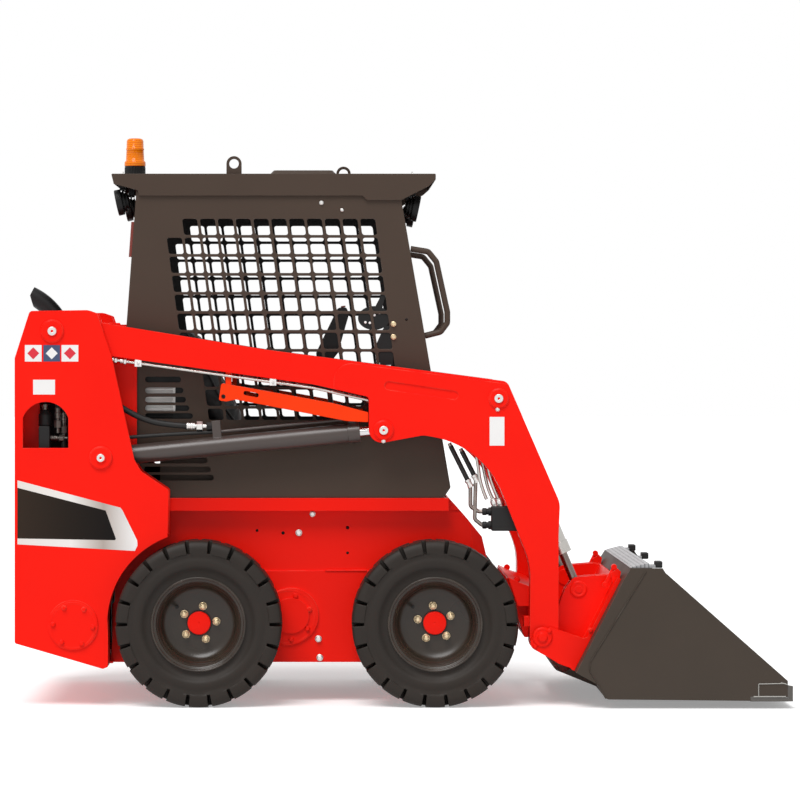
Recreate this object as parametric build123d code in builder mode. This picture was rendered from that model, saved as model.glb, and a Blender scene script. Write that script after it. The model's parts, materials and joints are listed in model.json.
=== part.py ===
from build123d import *
import math
import os

# Skid steer loader: X forward, Y to the left, Z up, ground at Z = 0, origin under the
# middle of the machine. Sizes in millimetres and degrees.

os.makedirs("parts", exist_ok=True)

SIDES = (("right", -1), ("left", 1))

# ---------------------------------------------------------------- driving sizes
REAR_X = -1363                  # rear face of the lift towers
LIP_X = 1363                    # front of the bucket's cutting edge
TYRE_R = 292
TYRE_WIDTH = 210
WHEEL_Y = 490                   # middle plane of a wheel
AXLE_REAR_X = -715
AXLE_FRONT_X = 115
AXLE_R = 30
RUN_GAP = 0.1                   # radial clearance of every pin and shaft
SEAT_GAP = 0.3                  # rest clearance between bodies that lie on each other

# Pivots in side view: x, z
ARM_PIVOT = (-1231, 1320)
LIFT_BASE = (-1060, 874)
LIFT_EYE = (-65, 971)
TILT_BASE = (340, 1083)
TILT_EYE = (628, 404)
COUPLER_PIVOT = (493, 244)

# Planes across the machine
TUB_Y = 345                     # outer face of the chain cases
CAB_Y = 390                     # outer face of the cab's side panels
ROOF_Y = 400
TOWER_IN_Y = 400                # tower: inner face of its inner plate
TOWER_OUT_Y = 532               # tower: outer face of its outer plate
PLATE = 12                      # tower and ear plates
ARM_IN_Y = 420
ARM_OUT_Y = 510
KNEE_PLATE = 8
LIFT_Y = 465                    # middle of a lift cylinder
TILT_Y = 375                    # middle of a tilt cylinder
BUCKET_Y = 625


def side_plane(y, x=0, z=0):
    """Upright plane at that distance across, drawn with X and Z."""
    return Plane(origin=(x, y, z), x_dir=(1, 0, 0), z_dir=(0, -1, 0))


def axle_plane(x, y, z, side=1):
    """Plane through a cross axle, drawn with the distance outward and the radius."""
    return Plane(origin=(x, y, z), x_dir=(0, side, 0), z_dir=(side, 0, 0))


def rod_plane(start, end, y):
    """Plane along a cylinder: local x runs from its base to its eye."""
    return Plane(origin=(start[0], y, start[1]),
                 x_dir=(end[0] - start[0], 0, end[1] - start[1]), z_dir=(0, -1, 0))


def bent(rows):
    """Closed line through rows of x, z, corner radius."""
    FilletPolyline(*[(x, z) for x, z, _ in rows], radius=[r for _, _, r in rows], close=True)


def save(piece, name):
    """Label the finished piece and write it."""
    piece.part.label = name
    export_step(piece.part, f"parts/{name}.step")


# ---------------------------------------------------------------- wheels
BEAD_R = 152
RIM_FLANGE_R = 167
RIM_HALF = 97
RIM_WALL = 6
LUGS = 22                       # shoulder lugs on each side of a tyre
LUG_CHAMFER = 24                # height of the slope on a lug's outer edge
GROOVE_DEPTH = 45               # the grooves run into the sidewall
GROOVE_WIDTH = 10
LUG_ROOT = 16                   # half of the plain strip along the tread's middle
HUB_HOLE_R = 44
HUB_CAP_R = 41

tyre_half = TYRE_WIDTH / 2
# Tyre section: distance from the middle plane, radius
TYRE_SECTION = (
    (85, BEAD_R + SEAT_GAP),
    (86, RIM_FLANGE_R + 4),
    (tyre_half, TYRE_R - 72),
    (tyre_half, TYRE_R - LUG_CHAMFER),
    (tyre_half - 15, TYRE_R),
)
# Rim section: distance outward from the middle plane, radius; the barrel, then the dished disc
RIM_SECTION = (
    (-RIM_HALF, RIM_FLANGE_R), (-RIM_HALF + 9, RIM_FLANGE_R), (-RIM_HALF + 9, BEAD_R),
    (-58, BEAD_R), (-46, BEAD_R - 14), (46, BEAD_R - 14), (58, BEAD_R),
    (RIM_HALF - 9, BEAD_R), (RIM_HALF - 9, RIM_FLANGE_R), (RIM_HALF, RIM_FLANGE_R),
    (RIM_HALF, BEAD_R - RIM_WALL), (62, BEAD_R - RIM_WALL), (50, BEAD_R - 14 - RIM_WALL),
    (40, BEAD_R - 14 - RIM_WALL), (14, 98), (14, HUB_HOLE_R), (4, HUB_HOLE_R), (4, 104),
    (26, BEAD_R - 14 - RIM_WALL), (-50, BEAD_R - 14 - RIM_WALL), (-62, BEAD_R - RIM_WALL),
    (-RIM_HALF, BEAD_R - RIM_WALL),
)

WHEELS = (                      # name, x, side
    ("front_right", AXLE_FRONT_X, -1),
    ("front_left", AXLE_FRONT_X, 1),
    ("rear_right", AXLE_REAR_X, -1),
    ("rear_left", AXLE_REAR_X, 1),
)

HOUSING_END_Y = 462             # outer end of a fixed axle housing
HOUSING_R = 62

for name, x, side in WHEELS:
    y = side * WHEEL_Y
    axle = Axis((x, y, TYRE_R), (0, 1, 0))
    with BuildPart() as tyre:
        with BuildSketch(axle_plane(x, y, TYRE_R)):
            with BuildLine():
                Polyline(*TYRE_SECTION, *[(-d, r) for d, r in reversed(TYRE_SECTION)], close=True)
            make_face()
        revolve(axis=axle)
        for face, turn in ((-1, 0.5), (1, 0)):
            groove = Plane(origin=(x, y + face * LUG_ROOT, TYRE_R), x_dir=(1, 0, 0),
                           z_dir=(0, face, 0))
            with BuildSketch(groove):
                with PolarLocations(TYRE_R - GROOVE_DEPTH / 2 + 5, LUGS, -90 + turn * 360 / LUGS):
                    Rectangle(GROOVE_DEPTH + 10, GROOVE_WIDTH)
            extrude(amount=tyre_half, mode=Mode.SUBTRACT)
    save(tyre, f"tyre_{name}")

    with BuildPart() as rim:
        with BuildSketch(axle_plane(x, y, TYRE_R, side)):
            with BuildLine():
                Polyline(*RIM_SECTION, close=True)
            make_face()
        revolve(axis=axle)
        # hub: flange behind the disc, cap in front of it, shaft into the chain case
        hub_back = HOUSING_END_Y + 8 - WHEEL_Y
        shaft_in = TUB_Y + 2 - WHEEL_Y
        with BuildSketch(axle_plane(x, y, TYRE_R, side)):
            with BuildLine():
                Polyline((shaft_in, 0), (shaft_in, AXLE_R), (hub_back, AXLE_R), (hub_back, 84),
                         (4, 84), (4, HUB_HOLE_R), (14, HUB_HOLE_R), (14, HUB_CAP_R),
                         (34, HUB_CAP_R), (40, HUB_CAP_R - 8), (40, 0), close=True)
            make_face()
        revolve(axis=axle)
    save(rim, f"rim_{name}")

# ---------------------------------------------------------------- chassis tub
TUB_TOP_Z = 728
TUB_FLOOR_Z = 141
TUB_WALL = 8
CASE_WIDTH = 85                 # width of a chain case
CASE_STEP_Z = 466               # the chain case's lid ends here
CASE_STEP = 6
RAIL_BOTTOM_Z = 682
RAIL_X = (-829, 168)
COVER_X, COVER_Z = -392, 307    # round inspection cover between the wheels
COVER_R = 98
BELLY_X = -1035

BELLY_SLOPE = 88 / 302          # rise of the belly plate towards the rear


def belly_top(x):
    """Height of the belly plate's upper face."""
    return TUB_FLOOR_Z + TUB_WALL + max(0, -1053 - x) * BELLY_SLOPE


# Tub in side view: x, z, corner radius
TUB = (
    (BELLY_X, TUB_FLOOR_Z, 8), (215, TUB_FLOOR_Z, 30), (305, 290, 40), (305, 515, 20),
    (288, 588, 0), (236, 652, 20), (168, TUB_TOP_Z, 0), (-1000, TUB_TOP_Z, 0),
)
# Footwell and engine bay in side view: x, z, corner radius
FOOTWELL = (
    (-330, TUB_FLOOR_Z + 60, 10), (200, TUB_FLOOR_Z + 60, 30), (297, 300, 30), (297, 512, 20),
    (280, 583, 0), (228, 646, 0), (160, TUB_TOP_Z + 5, 0), (-330, TUB_TOP_Z + 5, 0),
)

with BuildPart() as tub:
    with BuildSketch(side_plane(TUB_Y)):
        with BuildLine():
            bent(TUB)
        make_face()
    extrude(amount=2 * TUB_Y)
    inner_y = TUB_Y - CASE_WIDTH
    with BuildSketch(side_plane(inner_y)):
        with BuildLine():
            bent(FOOTWELL)
        make_face()
        with Locations(((BELLY_X - 20 - 340) / 2, (TUB_FLOOR_Z + TUB_WALL + TUB_TOP_Z + 20) / 2)):
            Rectangle(abs(BELLY_X - 20 + 340), TUB_TOP_Z + 20 - TUB_FLOOR_Z - TUB_WALL)
    extrude(amount=2 * inner_y, mode=Mode.SUBTRACT)
    for name, side in SIDES:
        # recess above the chain case's lid
        with BuildSketch(side_plane(side * (TUB_Y - CASE_STEP))):
            with Locations(((-1050 + 250) / 2, (CASE_STEP_Z + RAIL_BOTTOM_Z) / 2)):
                Rectangle(1300, RAIL_BOTTOM_Z - CASE_STEP_Z)
        extrude(amount=-side * 2 * CASE_STEP, mode=Mode.SUBTRACT)
        # rail that carries the cab
        with BuildSketch(side_plane(side * (TUB_Y - CASE_STEP))):
            with Locations(((RAIL_X[0] + RAIL_X[1]) / 2, (RAIL_BOTTOM_Z + TUB_TOP_Z) / 2)):
                Rectangle(RAIL_X[1] - RAIL_X[0], TUB_TOP_Z - RAIL_BOTTOM_Z)
        extrude(amount=-side * (ROOF_Y - TUB_Y + CASE_STEP))
        # inspection cover
        with BuildSketch(side_plane(side * TUB_Y)):
            with Locations((COVER_X, COVER_Z)):
                Circle(COVER_R)
        extrude(amount=-side * 8)
        with BuildSketch(side_plane(side * (TUB_Y + 8))):
            with Locations((COVER_X, COVER_Z)):
                Circle(COVER_R * 0.65)
        extrude(amount=-side * 7)
        # axle housings, bored for the shafts
        for x in (AXLE_FRONT_X, AXLE_REAR_X):
            with BuildSketch(side_plane(side * TUB_Y)):
                with Locations((x, TYRE_R)):
                    Circle(HOUSING_R)
            extrude(amount=-side * (HOUSING_END_Y - TUB_Y))
            with BuildSketch(side_plane(side * (TUB_Y - 5))):
                with Locations((x, TYRE_R)):
                    Circle(AXLE_R + RUN_GAP)
            extrude(amount=-side * (HOUSING_END_Y - TUB_Y + 10), mode=Mode.SUBTRACT)
    # belly plate under the engine, between the towers
    with BuildSketch(side_plane(TOWER_IN_Y)):
        with BuildLine():
            under = [(x, belly_top(x) - TUB_WALL) for x in (BELLY_X + 10, -1053, REAR_X + 8)]
            Polyline(*under, *[(x, z + TUB_WALL) for x, z in reversed(under)], close=True)
        make_face()
    extrude(amount=2 * TOWER_IN_Y)
    # wings that tie the tub to the towers' inner plates
    for name, side in SIDES:
        with BuildSketch(side_plane(side * (TUB_Y - CASE_STEP))):
            with BuildLine():
                Polyline((-1000, RAIL_BOTTOM_Z), (RAIL_X[0], RAIL_BOTTOM_Z),
                         (RAIL_X[0], TUB_TOP_Z), (-1000, TUB_TOP_Z), close=True)
            make_face()
        extrude(amount=-side * (TOWER_IN_Y - TUB_Y + CASE_STEP))
save(tub, "chassis_tub")

# ---------------------------------------------------------------- lift towers
ARCH_GAP = 30                   # between a rear tyre and the tower's arch
WEB = 9                         # closing webs between a tower's plates
ARM_PIN_R = 22
LIFT_PIN_R = 22
BOSS_R = 40
PIN_HEAD_R = 17.5
WINDOW_X = (-1334, -1174)
WINDOW_Z = (909, 1014, 1071)    # sill, spring line, crown
SERVICE_X = (-1284, -1150)      # window of the inner plate, for the hydraulic hoses
SERVICE_Z = (885, 1085)
HATCH_X, HATCH_Z, HATCH_R = -1158, 286, 88
arch_r = TYRE_R + ARCH_GAP

# Tower in side view: x, z, corner radius
TOWER = (
    (-1310, 1391, 14), (-1108, 1394, 10), (-1073, 1382, 8), (-1022, 1232, 0), (-942, 868, 25),
    (-919, 828, 20), (-821, 761, 14), (-826, 555, 0), (BELLY_X, 300, 0), (BELLY_X, 139, 6),
    (-1053, 132, 0), (REAR_X, 222, 8), (REAR_X, 1225, 10),
)
# Space between a tower's plates: x, z
TOWER_GAP = (
    (REAR_X + WEB, 231), (REAR_X + WEB, 1223), (-1302, 1384), (-1290, 1420), (-700, 1420),
    (-700, 500), (BELLY_X - WEB, 300), (BELLY_X - WEB, 146), (-1053, 142),
)

for name, side in SIDES:
    with BuildPart() as tower:
        with BuildSketch(side_plane(side * TOWER_IN_Y)):
            with BuildLine():
                bent(TOWER)
            make_face()
            with Locations((AXLE_REAR_X, TYRE_R)):
                Circle(arch_r, mode=Mode.SUBTRACT)
        extrude(amount=-side * (TOWER_OUT_Y - TOWER_IN_Y))
        with BuildSketch(side_plane(side * (TOWER_IN_Y + PLATE))):
            with BuildLine():
                Polyline(*TOWER_GAP, close=True)
            make_face()
            with Locations((AXLE_REAR_X, TYRE_R)):
                Circle(arch_r + WEB, mode=Mode.SUBTRACT)
        extrude(amount=-side * (TOWER_OUT_Y - TOWER_IN_Y - 2 * PLATE), mode=Mode.SUBTRACT)
        # the inner plate reaches further forward
        with BuildSketch(side_plane(side * TOWER_IN_Y)):
            with BuildLine():
                Polyline((-1060, 860), (-939, 860), (-939, 1240), (-1000, 1350), (-1060, 1350),
                         close=True)
            make_face()
        extrude(amount=-side * PLATE)
        # arched window in the outer plate, and a plain one behind it in the inner plate
        with BuildSketch(side_plane(side * (TOWER_IN_Y + PLATE + 5))):
            width = WINDOW_X[1] - WINDOW_X[0]
            with BuildLine():
                Polyline((WINDOW_X[0], WINDOW_Z[1]), (WINDOW_X[0], WINDOW_Z[0]),
                         (WINDOW_X[1], WINDOW_Z[0]), (WINDOW_X[1], WINDOW_Z[1]))
                ThreePointArc((WINDOW_X[1], WINDOW_Z[1]),
                              (sum(WINDOW_X) / 2, WINDOW_Z[2]), (WINDOW_X[0], WINDOW_Z[1]))
            make_face()
        extrude(amount=-side * (TOWER_OUT_Y - TOWER_IN_Y), mode=Mode.SUBTRACT)
        with BuildSketch(side_plane(side * (TOWER_IN_Y - 5))):
            with Locations((sum(SERVICE_X) / 2, sum(SERVICE_Z) / 2)):
                Rectangle(SERVICE_X[1] - SERVICE_X[0], SERVICE_Z[1] - SERVICE_Z[0])
        extrude(amount=-side * (PLATE + 10), mode=Mode.SUBTRACT)
        # pivot pins, bosses and pin heads
        for (x, z), pin_r in ((ARM_PIVOT, ARM_PIN_R), (LIFT_BASE, LIFT_PIN_R)):
            with BuildSketch(side_plane(side * TOWER_IN_Y)):
                with Locations((x, z)):
                    Circle(pin_r)
            extrude(amount=-side * (TOWER_OUT_Y - TOWER_IN_Y))
            for radius, start, length in ((BOSS_R, 0, 7), (PIN_HEAD_R, 7, 6)):
                with BuildSketch(side_plane(side * (TOWER_OUT_Y + start))):
                    with Locations((x, z)):
                        Circle(radius)
                extrude(amount=-side * length)
        # round bolted cover
        with BuildSketch(side_plane(side * TOWER_OUT_Y)):
            with Locations((HATCH_X, HATCH_Z)):
                Circle(HATCH_R)
        extrude(amount=-side * 6)
    save(tower, f"tower_{name}")

# ---------------------------------------------------------------- rear of the machine
# Cross header between the towers in side view: x, z
HEADER = ((-1354, 1228), (-1312, 1228), (-1312, 1322), (-1324, 1322))
DOOR_Z = (246, 1220)
DOOR_HINGE = (REAR_X + 12, TOWER_IN_Y - 10)     # x, y
DOOR_KNUCKLE_R = 9.7
GRILLE_Z = 900                                  # middle of the door's louvres
GRILLE_PITCH = (300, 60)                        # across, up
GRILLE_SLOT = (240, 22)                         # length, height
HOOD_HINGE = (-1040, 1290)                      # x, z
HOOD_TOP_Z = (1330, 1340)                       # at the rear, at the front
HOOD_SKIN = 4
HOOD_Y = 388
HOOD_SLOT_X = -1150                             # front end of the slot for the exhaust
EXHAUST_Y = -100
EXHAUST_R = 32.5
EXHAUST_X = -1209
EXHAUST_BEND = (1248, 226, 65)                  # start of the bend, its radius and its angle

with BuildPart() as header:
    with BuildSketch(side_plane(TOWER_IN_Y)):
        with BuildLine():
            Polyline(*HEADER, close=True)
        make_face()
    extrude(amount=2 * TOWER_IN_Y)
save(header, "rear_header")

with BuildPart() as door:
    # outer skin with a folded rim, open towards the engine
    with BuildSketch(Plane(origin=(REAR_X + 8, 0, sum(DOOR_Z) / 2), x_dir=(0, 1, 0),
                           z_dir=(1, 0, 0))):
        RectangleRounded(2 * (TOWER_IN_Y - 8), DOOR_Z[1] - DOOR_Z[0], 20)
    extrude(amount=24)
    with BuildSketch(Plane(origin=(REAR_X + 12, 0, sum(DOOR_Z) / 2), x_dir=(0, 1, 0),
                           z_dir=(1, 0, 0))):
        RectangleRounded(2 * (TOWER_IN_Y - 12), DOOR_Z[1] - DOOR_Z[0] - 8, 16)
    extrude(amount=24, mode=Mode.SUBTRACT)
    # grille of louvres in the upper half
    with BuildSketch(Plane(origin=(REAR_X + 4, 0, GRILLE_Z), x_dir=(0, 1, 0), z_dir=(1, 0, 0))):
        with GridLocations(GRILLE_PITCH[0], GRILLE_PITCH[1], 2, 7):
            SlotOverall(*GRILLE_SLOT)
    extrude(amount=20, mode=Mode.SUBTRACT)
    # hinge knuckles on the left edge
    for z in (400, 1050):
        with BuildSketch(Plane.XY.offset(z)):
            with Locations(DOOR_HINGE):
                Circle(DOOR_KNUCKLE_R)
        extrude(amount=80)
save(door, "rear_door")

hood_rear_x = HEADER[1][0] + SEAT_GAP
with BuildPart() as hood:
    with BuildSketch(side_plane(HOOD_Y)):
        with BuildLine():
            bent(((hood_rear_x, HOOD_HINGE[1], 0), (hood_rear_x, HOOD_TOP_Z[0], 14),
                  (HOOD_HINGE[0], HOOD_TOP_Z[1], 14), (HOOD_HINGE[0], HOOD_HINGE[1], 0)))
        make_face()
    extrude(amount=2 * HOOD_Y)
    with BuildSketch(side_plane(HOOD_Y - HOOD_SKIN)):
        with BuildLine():
            bent(((hood_rear_x + HOOD_SKIN, HOOD_HINGE[1] - 5, 0),
                  (hood_rear_x + HOOD_SKIN, HOOD_TOP_Z[0] - HOOD_SKIN, 10),
                  (HOOD_HINGE[0] - HOOD_SKIN, HOOD_TOP_Z[1] - HOOD_SKIN, 10),
                  (HOOD_HINGE[0] - HOOD_SKIN, HOOD_HINGE[1] - 5, 0)))
        make_face()
    extrude(amount=2 * (HOOD_Y - HOOD_SKIN), mode=Mode.SUBTRACT)
    # slot for the exhaust, open at the rear edge
    with BuildSketch(Plane.XY.offset(1270)):
        with Locations(((hood_rear_x - 20 + HOOD_SLOT_X) / 2, EXHAUST_Y)):
            Rectangle(HOOD_SLOT_X - hood_rear_x + 20, 2 * EXHAUST_R + 30)
    extrude(amount=100, mode=Mode.SUBTRACT)
save(hood, "engine_hood")

# Engine: bottom z, height, length, width
ENGINE = ((270, 70, 220, 280), (330, 530, 280, 420), (860, 270, 240, 420))
ENGINE_X = -1185
with BuildPart() as engine:
    for z, height, length, width in ENGINE:
        with BuildSketch(Plane.XY.offset(z)):
            with Locations((ENGINE_X, 0)):
                Rectangle(length, width)
        extrude(amount=height)
    # feet down to the belly plate
    for name, side in SIDES:
        with BuildSketch(side_plane(side * 120)):
            with BuildLine():
                Polyline((-1310, belly_top(-1310)), (-1060, belly_top(-1060)), (-1060, 350),
                         (-1310, 350), close=True)
            make_face()
        extrude(amount=-side * 60)
save(engine, "engine_block")

engine_top_z = ENGINE[-1][0] + ENGINE[-1][1]
bend_z, bend_r, bend_angle = EXHAUST_BEND
with BuildPart() as exhaust:
    with BuildLine() as route:
        start = (EXHAUST_X, EXHAUST_Y, engine_top_z)
        Line(start, (EXHAUST_X, EXHAUST_Y, bend_z))
        ThreePointArc(*[(EXHAUST_X - bend_r * (1 - math.cos(turn)), EXHAUST_Y,
                         bend_z + bend_r * math.sin(turn))
                        for turn in (0, math.radians(bend_angle / 2), math.radians(bend_angle))])
    with BuildSketch(Plane(origin=start, z_dir=(0, 0, 1))):
        Circle(EXHAUST_R)
        Circle(EXHAUST_R - 3, mode=Mode.SUBTRACT)
    sweep(path=route.line)
    # outlet cut off steeply, facing the rear
    with BuildSketch(side_plane(0)):
        with BuildLine():
            Polyline((-1355, 1509), (-1318, 1368), (-1450, 1368), (-1450, 1560), (-1355, 1560),
                     close=True)
        make_face()
    extrude(amount=-2 * EXHAUST_Y, mode=Mode.SUBTRACT)
save(exhaust, "exhaust_stack")

# ---------------------------------------------------------------- cab
CAB_SKIN = 4
CAB_BOTTOM_Z = TUB_TOP_Z
ROOF_TOP_Z = 1880
ROOF_SKIN = 5
PILLAR_DEPTH = 50
CAB_REAR_X = (-1022, -938)      # at the bottom, at the roof's skin
CAB_TOP_Z = ROOF_TOP_Z - ROOF_SKIN
PILLAR_LEAN = 85 / 489          # the upper front pillar leans back
GRID_PITCH_X = 63.3
GRID_PITCH_Z = 67.5
GRID_BAR = 10
GRID_TOP_Z = 1720
GRID_LEFT_X = -833              # left edge of column 0 at GRID_LEFT_Z
GRID_LEFT_Z = 1645
GRID_LEAN = -0.134              # bars lean back: change of x per change of z
GRID_COLUMNS = 12

# Cab side in side view: x, z, corner radius
CAB_SIDE = (
    (CAB_REAR_X[0], CAB_BOTTOM_Z, 0), (150, CAB_BOTTOM_Z, 22), (175, 765, 12), (85, 1297, 0),
    (0, 1786, 0), ((1786 - CAB_TOP_Z) * PILLAR_LEAN, CAB_TOP_Z, 0), (CAB_REAR_X[1], CAB_TOP_Z, 0),
)
# Window grid: rows from the top, first column, height of the row's cells
GRID_ROWS = (
    (0, 1, 57.5), (1, 0, 57.5), (2, 0, 57.5), (3, 0, 57.5), (4, 0, 57.5), (5, 0, 57.5),
    (6, 0, 57.5), (7, 0, 57.5), (8, 1, 57.5), (9, 1, 57.5), (10, 1, 40),
)
# Louvre slots: left end x, right end x, middle z
LOUVRES = (
    (-911, -783, 1149), (-911, -775, 1110), (-911, -766, 1077), (-911, -754, 1047),
    (-911, -741, 1019), (-936, -689, 861), (-915, -678, 829), (-890, -667, 800),
)
LOUVRE_HEIGHT = 20

for name, side in SIDES:
    with BuildPart() as panel:
        with BuildSketch(side_plane(side * CAB_Y)):
            with BuildLine():
                bent(CAB_SIDE)
            make_face()
        extrude(amount=side * CAB_SKIN)
        # front pillar's return flange
        with BuildSketch(side_plane(side * CAB_Y)):
            with BuildLine():
                Polyline((0, 1786), (85, 1297), (172, 782), (164, 782), (77, 1297), (-8, 1786),
                         close=True)
            make_face()
        extrude(amount=side * PILLAR_DEPTH)
        # window grid
        with BuildSketch(side_plane(side * CAB_Y)):
            for row, first, height in GRID_ROWS:
                top = GRID_TOP_Z - row * GRID_PITCH_Z
                for column in range(first, GRID_COLUMNS):
                    left = GRID_LEFT_X + column * GRID_PITCH_X + (top - GRID_LEFT_Z) * GRID_LEAN
                    width = GRID_PITCH_X - GRID_BAR
                    shift = -height * GRID_LEAN
                    with BuildLine():
                        Polyline((left, top), (left + width, top),
                                 (left + width + shift, top - height),
                                 (left + shift, top - height), close=True)
                    make_face()
        extrude(amount=side * CAB_SKIN, mode=Mode.SUBTRACT)
        with BuildSketch(side_plane(side * CAB_Y)):
            for left, right, z in LOUVRES:
                with Locations(((left + right) / 2, z)):
                    SlotOverall(right - left, LOUVRE_HEIGHT)
        extrude(amount=side * CAB_SKIN, mode=Mode.SUBTRACT)
    save(panel, f"cab_side_{name}")

cab_in_y = CAB_Y - CAB_SKIN
with BuildPart() as rear_wall:
    with BuildSketch(side_plane(cab_in_y)):
        with BuildLine():
            Polyline((CAB_REAR_X[0], CAB_BOTTOM_Z), (CAB_REAR_X[0] + CAB_SKIN, CAB_BOTTOM_Z),
                     (CAB_REAR_X[1] + CAB_SKIN, CAB_TOP_Z), (CAB_REAR_X[1], CAB_TOP_Z), close=True)
        make_face()
    extrude(amount=2 * cab_in_y)
    # rear window
    with BuildSketch(Plane(origin=(-1100, 0, 1580), x_dir=(0, 1, 0), z_dir=(1, 0, 0))):
        RectangleRounded(560, 300, 40)
    extrude(amount=300, mode=Mode.SUBTRACT)
save(rear_wall, "cab_rear_wall")

# Oil cooler behind the right louvres: a finned core and the duct beside it
COOLER_X = (-925, -805, -735)   # rear of the core, core to duct, front of the duct
COOLER_Z = (868, 1175)          # stands on the seat base
COOLER_Y = (-345, -245)
FIN_PITCH = 14
FIN_DEPTH = 12
with BuildPart() as cooler:
    with BuildSketch(Plane.XY.offset(COOLER_Z[0])):
        with Locations(((COOLER_X[0] + COOLER_X[2]) / 2, sum(COOLER_Y) / 2)):
            Rectangle(COOLER_X[2] - COOLER_X[0], COOLER_Y[1] - COOLER_Y[0])
    extrude(amount=COOLER_Z[1] - COOLER_Z[0])
    # gaps between the fins
    with BuildSketch(side_plane(COOLER_Y[0])):
        with Locations(((COOLER_X[0] + COOLER_X[1]) / 2, 1050)):
            with GridLocations(1, FIN_PITCH, 1, 13):
                Rectangle(COOLER_X[1] - COOLER_X[0] - 20, FIN_PITCH / 2)
    extrude(amount=-FIN_DEPTH, mode=Mode.SUBTRACT)
save(cooler, "oil_cooler")

# Roof in side view: x, z, corner radius
ROOF = (
    (-1031, ROOF_TOP_Z, 4), (-1022, 1844, 0), (-936, 1821, 0), (-933, 1802, 0), (-139, 1802, 0),
    (-122, 1786, 0), (0, 1786, 0), (97, 1836, 0), (122, 1858, 8), (122, ROOF_TOP_Z, 4),
)
HATCH_DOME = (-350, 0, 252, 20)     # middle x, middle y, length, height of the roof's dome

with BuildPart() as roof:
    with BuildSketch(side_plane(ROOF_Y)):
        with BuildLine():
            bent(ROOF)
        make_face()
    extrude(amount=2 * ROOF_Y)
    with BuildSketch(side_plane(CAB_Y)):
        with Locations(((-1018 + 117) / 2, (1770 + CAB_TOP_Z) / 2)):
            Rectangle(117 + 1018, CAB_TOP_Z - 1770)
    extrude(amount=2 * CAB_Y, mode=Mode.SUBTRACT)
    with BuildSketch(Plane.XY.offset(ROOF_TOP_Z)):
        with Locations(HATCH_DOME[:2]):
            RectangleRounded(HATCH_DOME[2], 500, 40)
    extrude(amount=HATCH_DOME[3], taper=45)
save(roof, "cab_roof")

with BuildPart() as front_frame:
    # header under the roof, and a sill across the footwell
    with BuildSketch(side_plane(cab_in_y - PILLAR_DEPTH + CAB_SKIN)):
        with BuildLine():
            top_x, low_x = ((1786 - z) * PILLAR_LEAN for z in (CAB_TOP_Z, 1700))
            Polyline((top_x - 8, CAB_TOP_Z), (top_x, CAB_TOP_Z), (low_x, 1700), (low_x - 8, 1700),
                     close=True)
        make_face()
        with BuildLine():
            Polyline((110, CAB_BOTTOM_Z), (152, CAB_BOTTOM_Z), (165, 782), (155, 782),
                     (146, CAB_BOTTOM_Z + 8), (110, CAB_BOTTOM_Z + 8), close=True)
        make_face()
    extrude(amount=2 * (cab_in_y - PILLAR_DEPTH + CAB_SKIN))
save(front_frame, "cab_front_frame")

# Grab handle in side view, from the pillar's top bend round to the pillar: x, z
HANDLE = (
    (33.5, 1614), (96, 1604), (125, 1568), (164, 1389), (164, 1350), (140, 1318), (84.8, 1304),
)
HANDLE_R = 10.5
HANDLE_Y = 362
with BuildPart() as handles:
    for name, side in SIDES:
        with BuildLine() as route:
            y = side * HANDLE_Y
            FilletPolyline(*[(x, y, z) for x, z in HANDLE], radius=18)
        (x0, z0), (x1, z1) = HANDLE[:2]
        with BuildSketch(Plane(origin=(x0, y, z0), z_dir=(x1 - x0, 0, z1 - z0))):
            Circle(HANDLE_R)
        sweep(path=route.line)
save(handles, "grab_handles")

EYE_HOLE_R = 17
EYE_R = 27
EYE_Z = ROOF_TOP_Z + 36
EYE_THICK = 12
EYES = ((-595, -380), (-202, 380))      # x, y of each lifting eye
with BuildPart() as eyes:
    for x, y in EYES:
        with BuildSketch(side_plane(y + EYE_THICK / 2)):
            with Locations((x, EYE_Z)):
                Circle(EYE_R)
            with Locations((x, (ROOF_TOP_Z + EYE_Z) / 2)):
                Rectangle(2 * EYE_R, EYE_Z - ROOF_TOP_Z)
            with Locations((x, EYE_Z)):
                Circle(EYE_HOLE_R, mode=Mode.SUBTRACT)
        extrude(amount=EYE_THICK)
save(eyes, "lifting_eyes")

BEACON_X = -966
# Beacon: radius, height above the roof
BEACON = ((36, 0), (36, 46), (38.5, 47), (38.5, 58), (32, 62), (31, 101), (32.5, 104), (32.5, 108),
          (30.5, 111), (29.5, 138), (22, 149), (0, 149))
with BuildPart() as beacon:
    with BuildSketch(Plane(origin=(BEACON_X, 0, ROOF_TOP_Z), x_dir=(1, 0, 0), z_dir=(0, -1, 0))):
        with BuildLine():
            Polyline((0, 0), *BEACON, close=True)
        make_face()
    revolve(axis=Axis((BEACON_X, 0, ROOF_TOP_Z), (0, 0, 1)))
save(beacon, "beacon")

LAMP_Y = 300
LAMP_TILT = 12
# Lamp: distance along its axis, radius
LAMP = ((-24, 0), (-24, 24), (-9, 34), (0, 36), (2, 46), (24, 46), (24, 0))
LAMPS = ((40, 1762, 1), (-994, 1784, -1))       # middle x, z, facing forward or to the rear
with BuildPart() as lamps:
    for x, z, facing in LAMPS:
        for name, side in SIDES:
            y = side * LAMP_Y
            along = (facing * math.cos(math.radians(LAMP_TILT)), 0,
                     -math.sin(math.radians(LAMP_TILT)))
            with BuildSketch(Plane(origin=(x, y, z), x_dir=along, z_dir=(0, -1, 0))):
                with BuildLine():
                    Polyline(*LAMP, close=True)
                make_face()
            revolve(axis=Axis((x, y, z), along))
            # hanger up to the roof
            with BuildSketch(Plane.XY.offset(z + 30)):
                with Locations((x, y)):
                    Rectangle(24, 5)
            extrude(amount=CAB_TOP_Z - z - 30)
save(lamps, "work_lamps")

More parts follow.
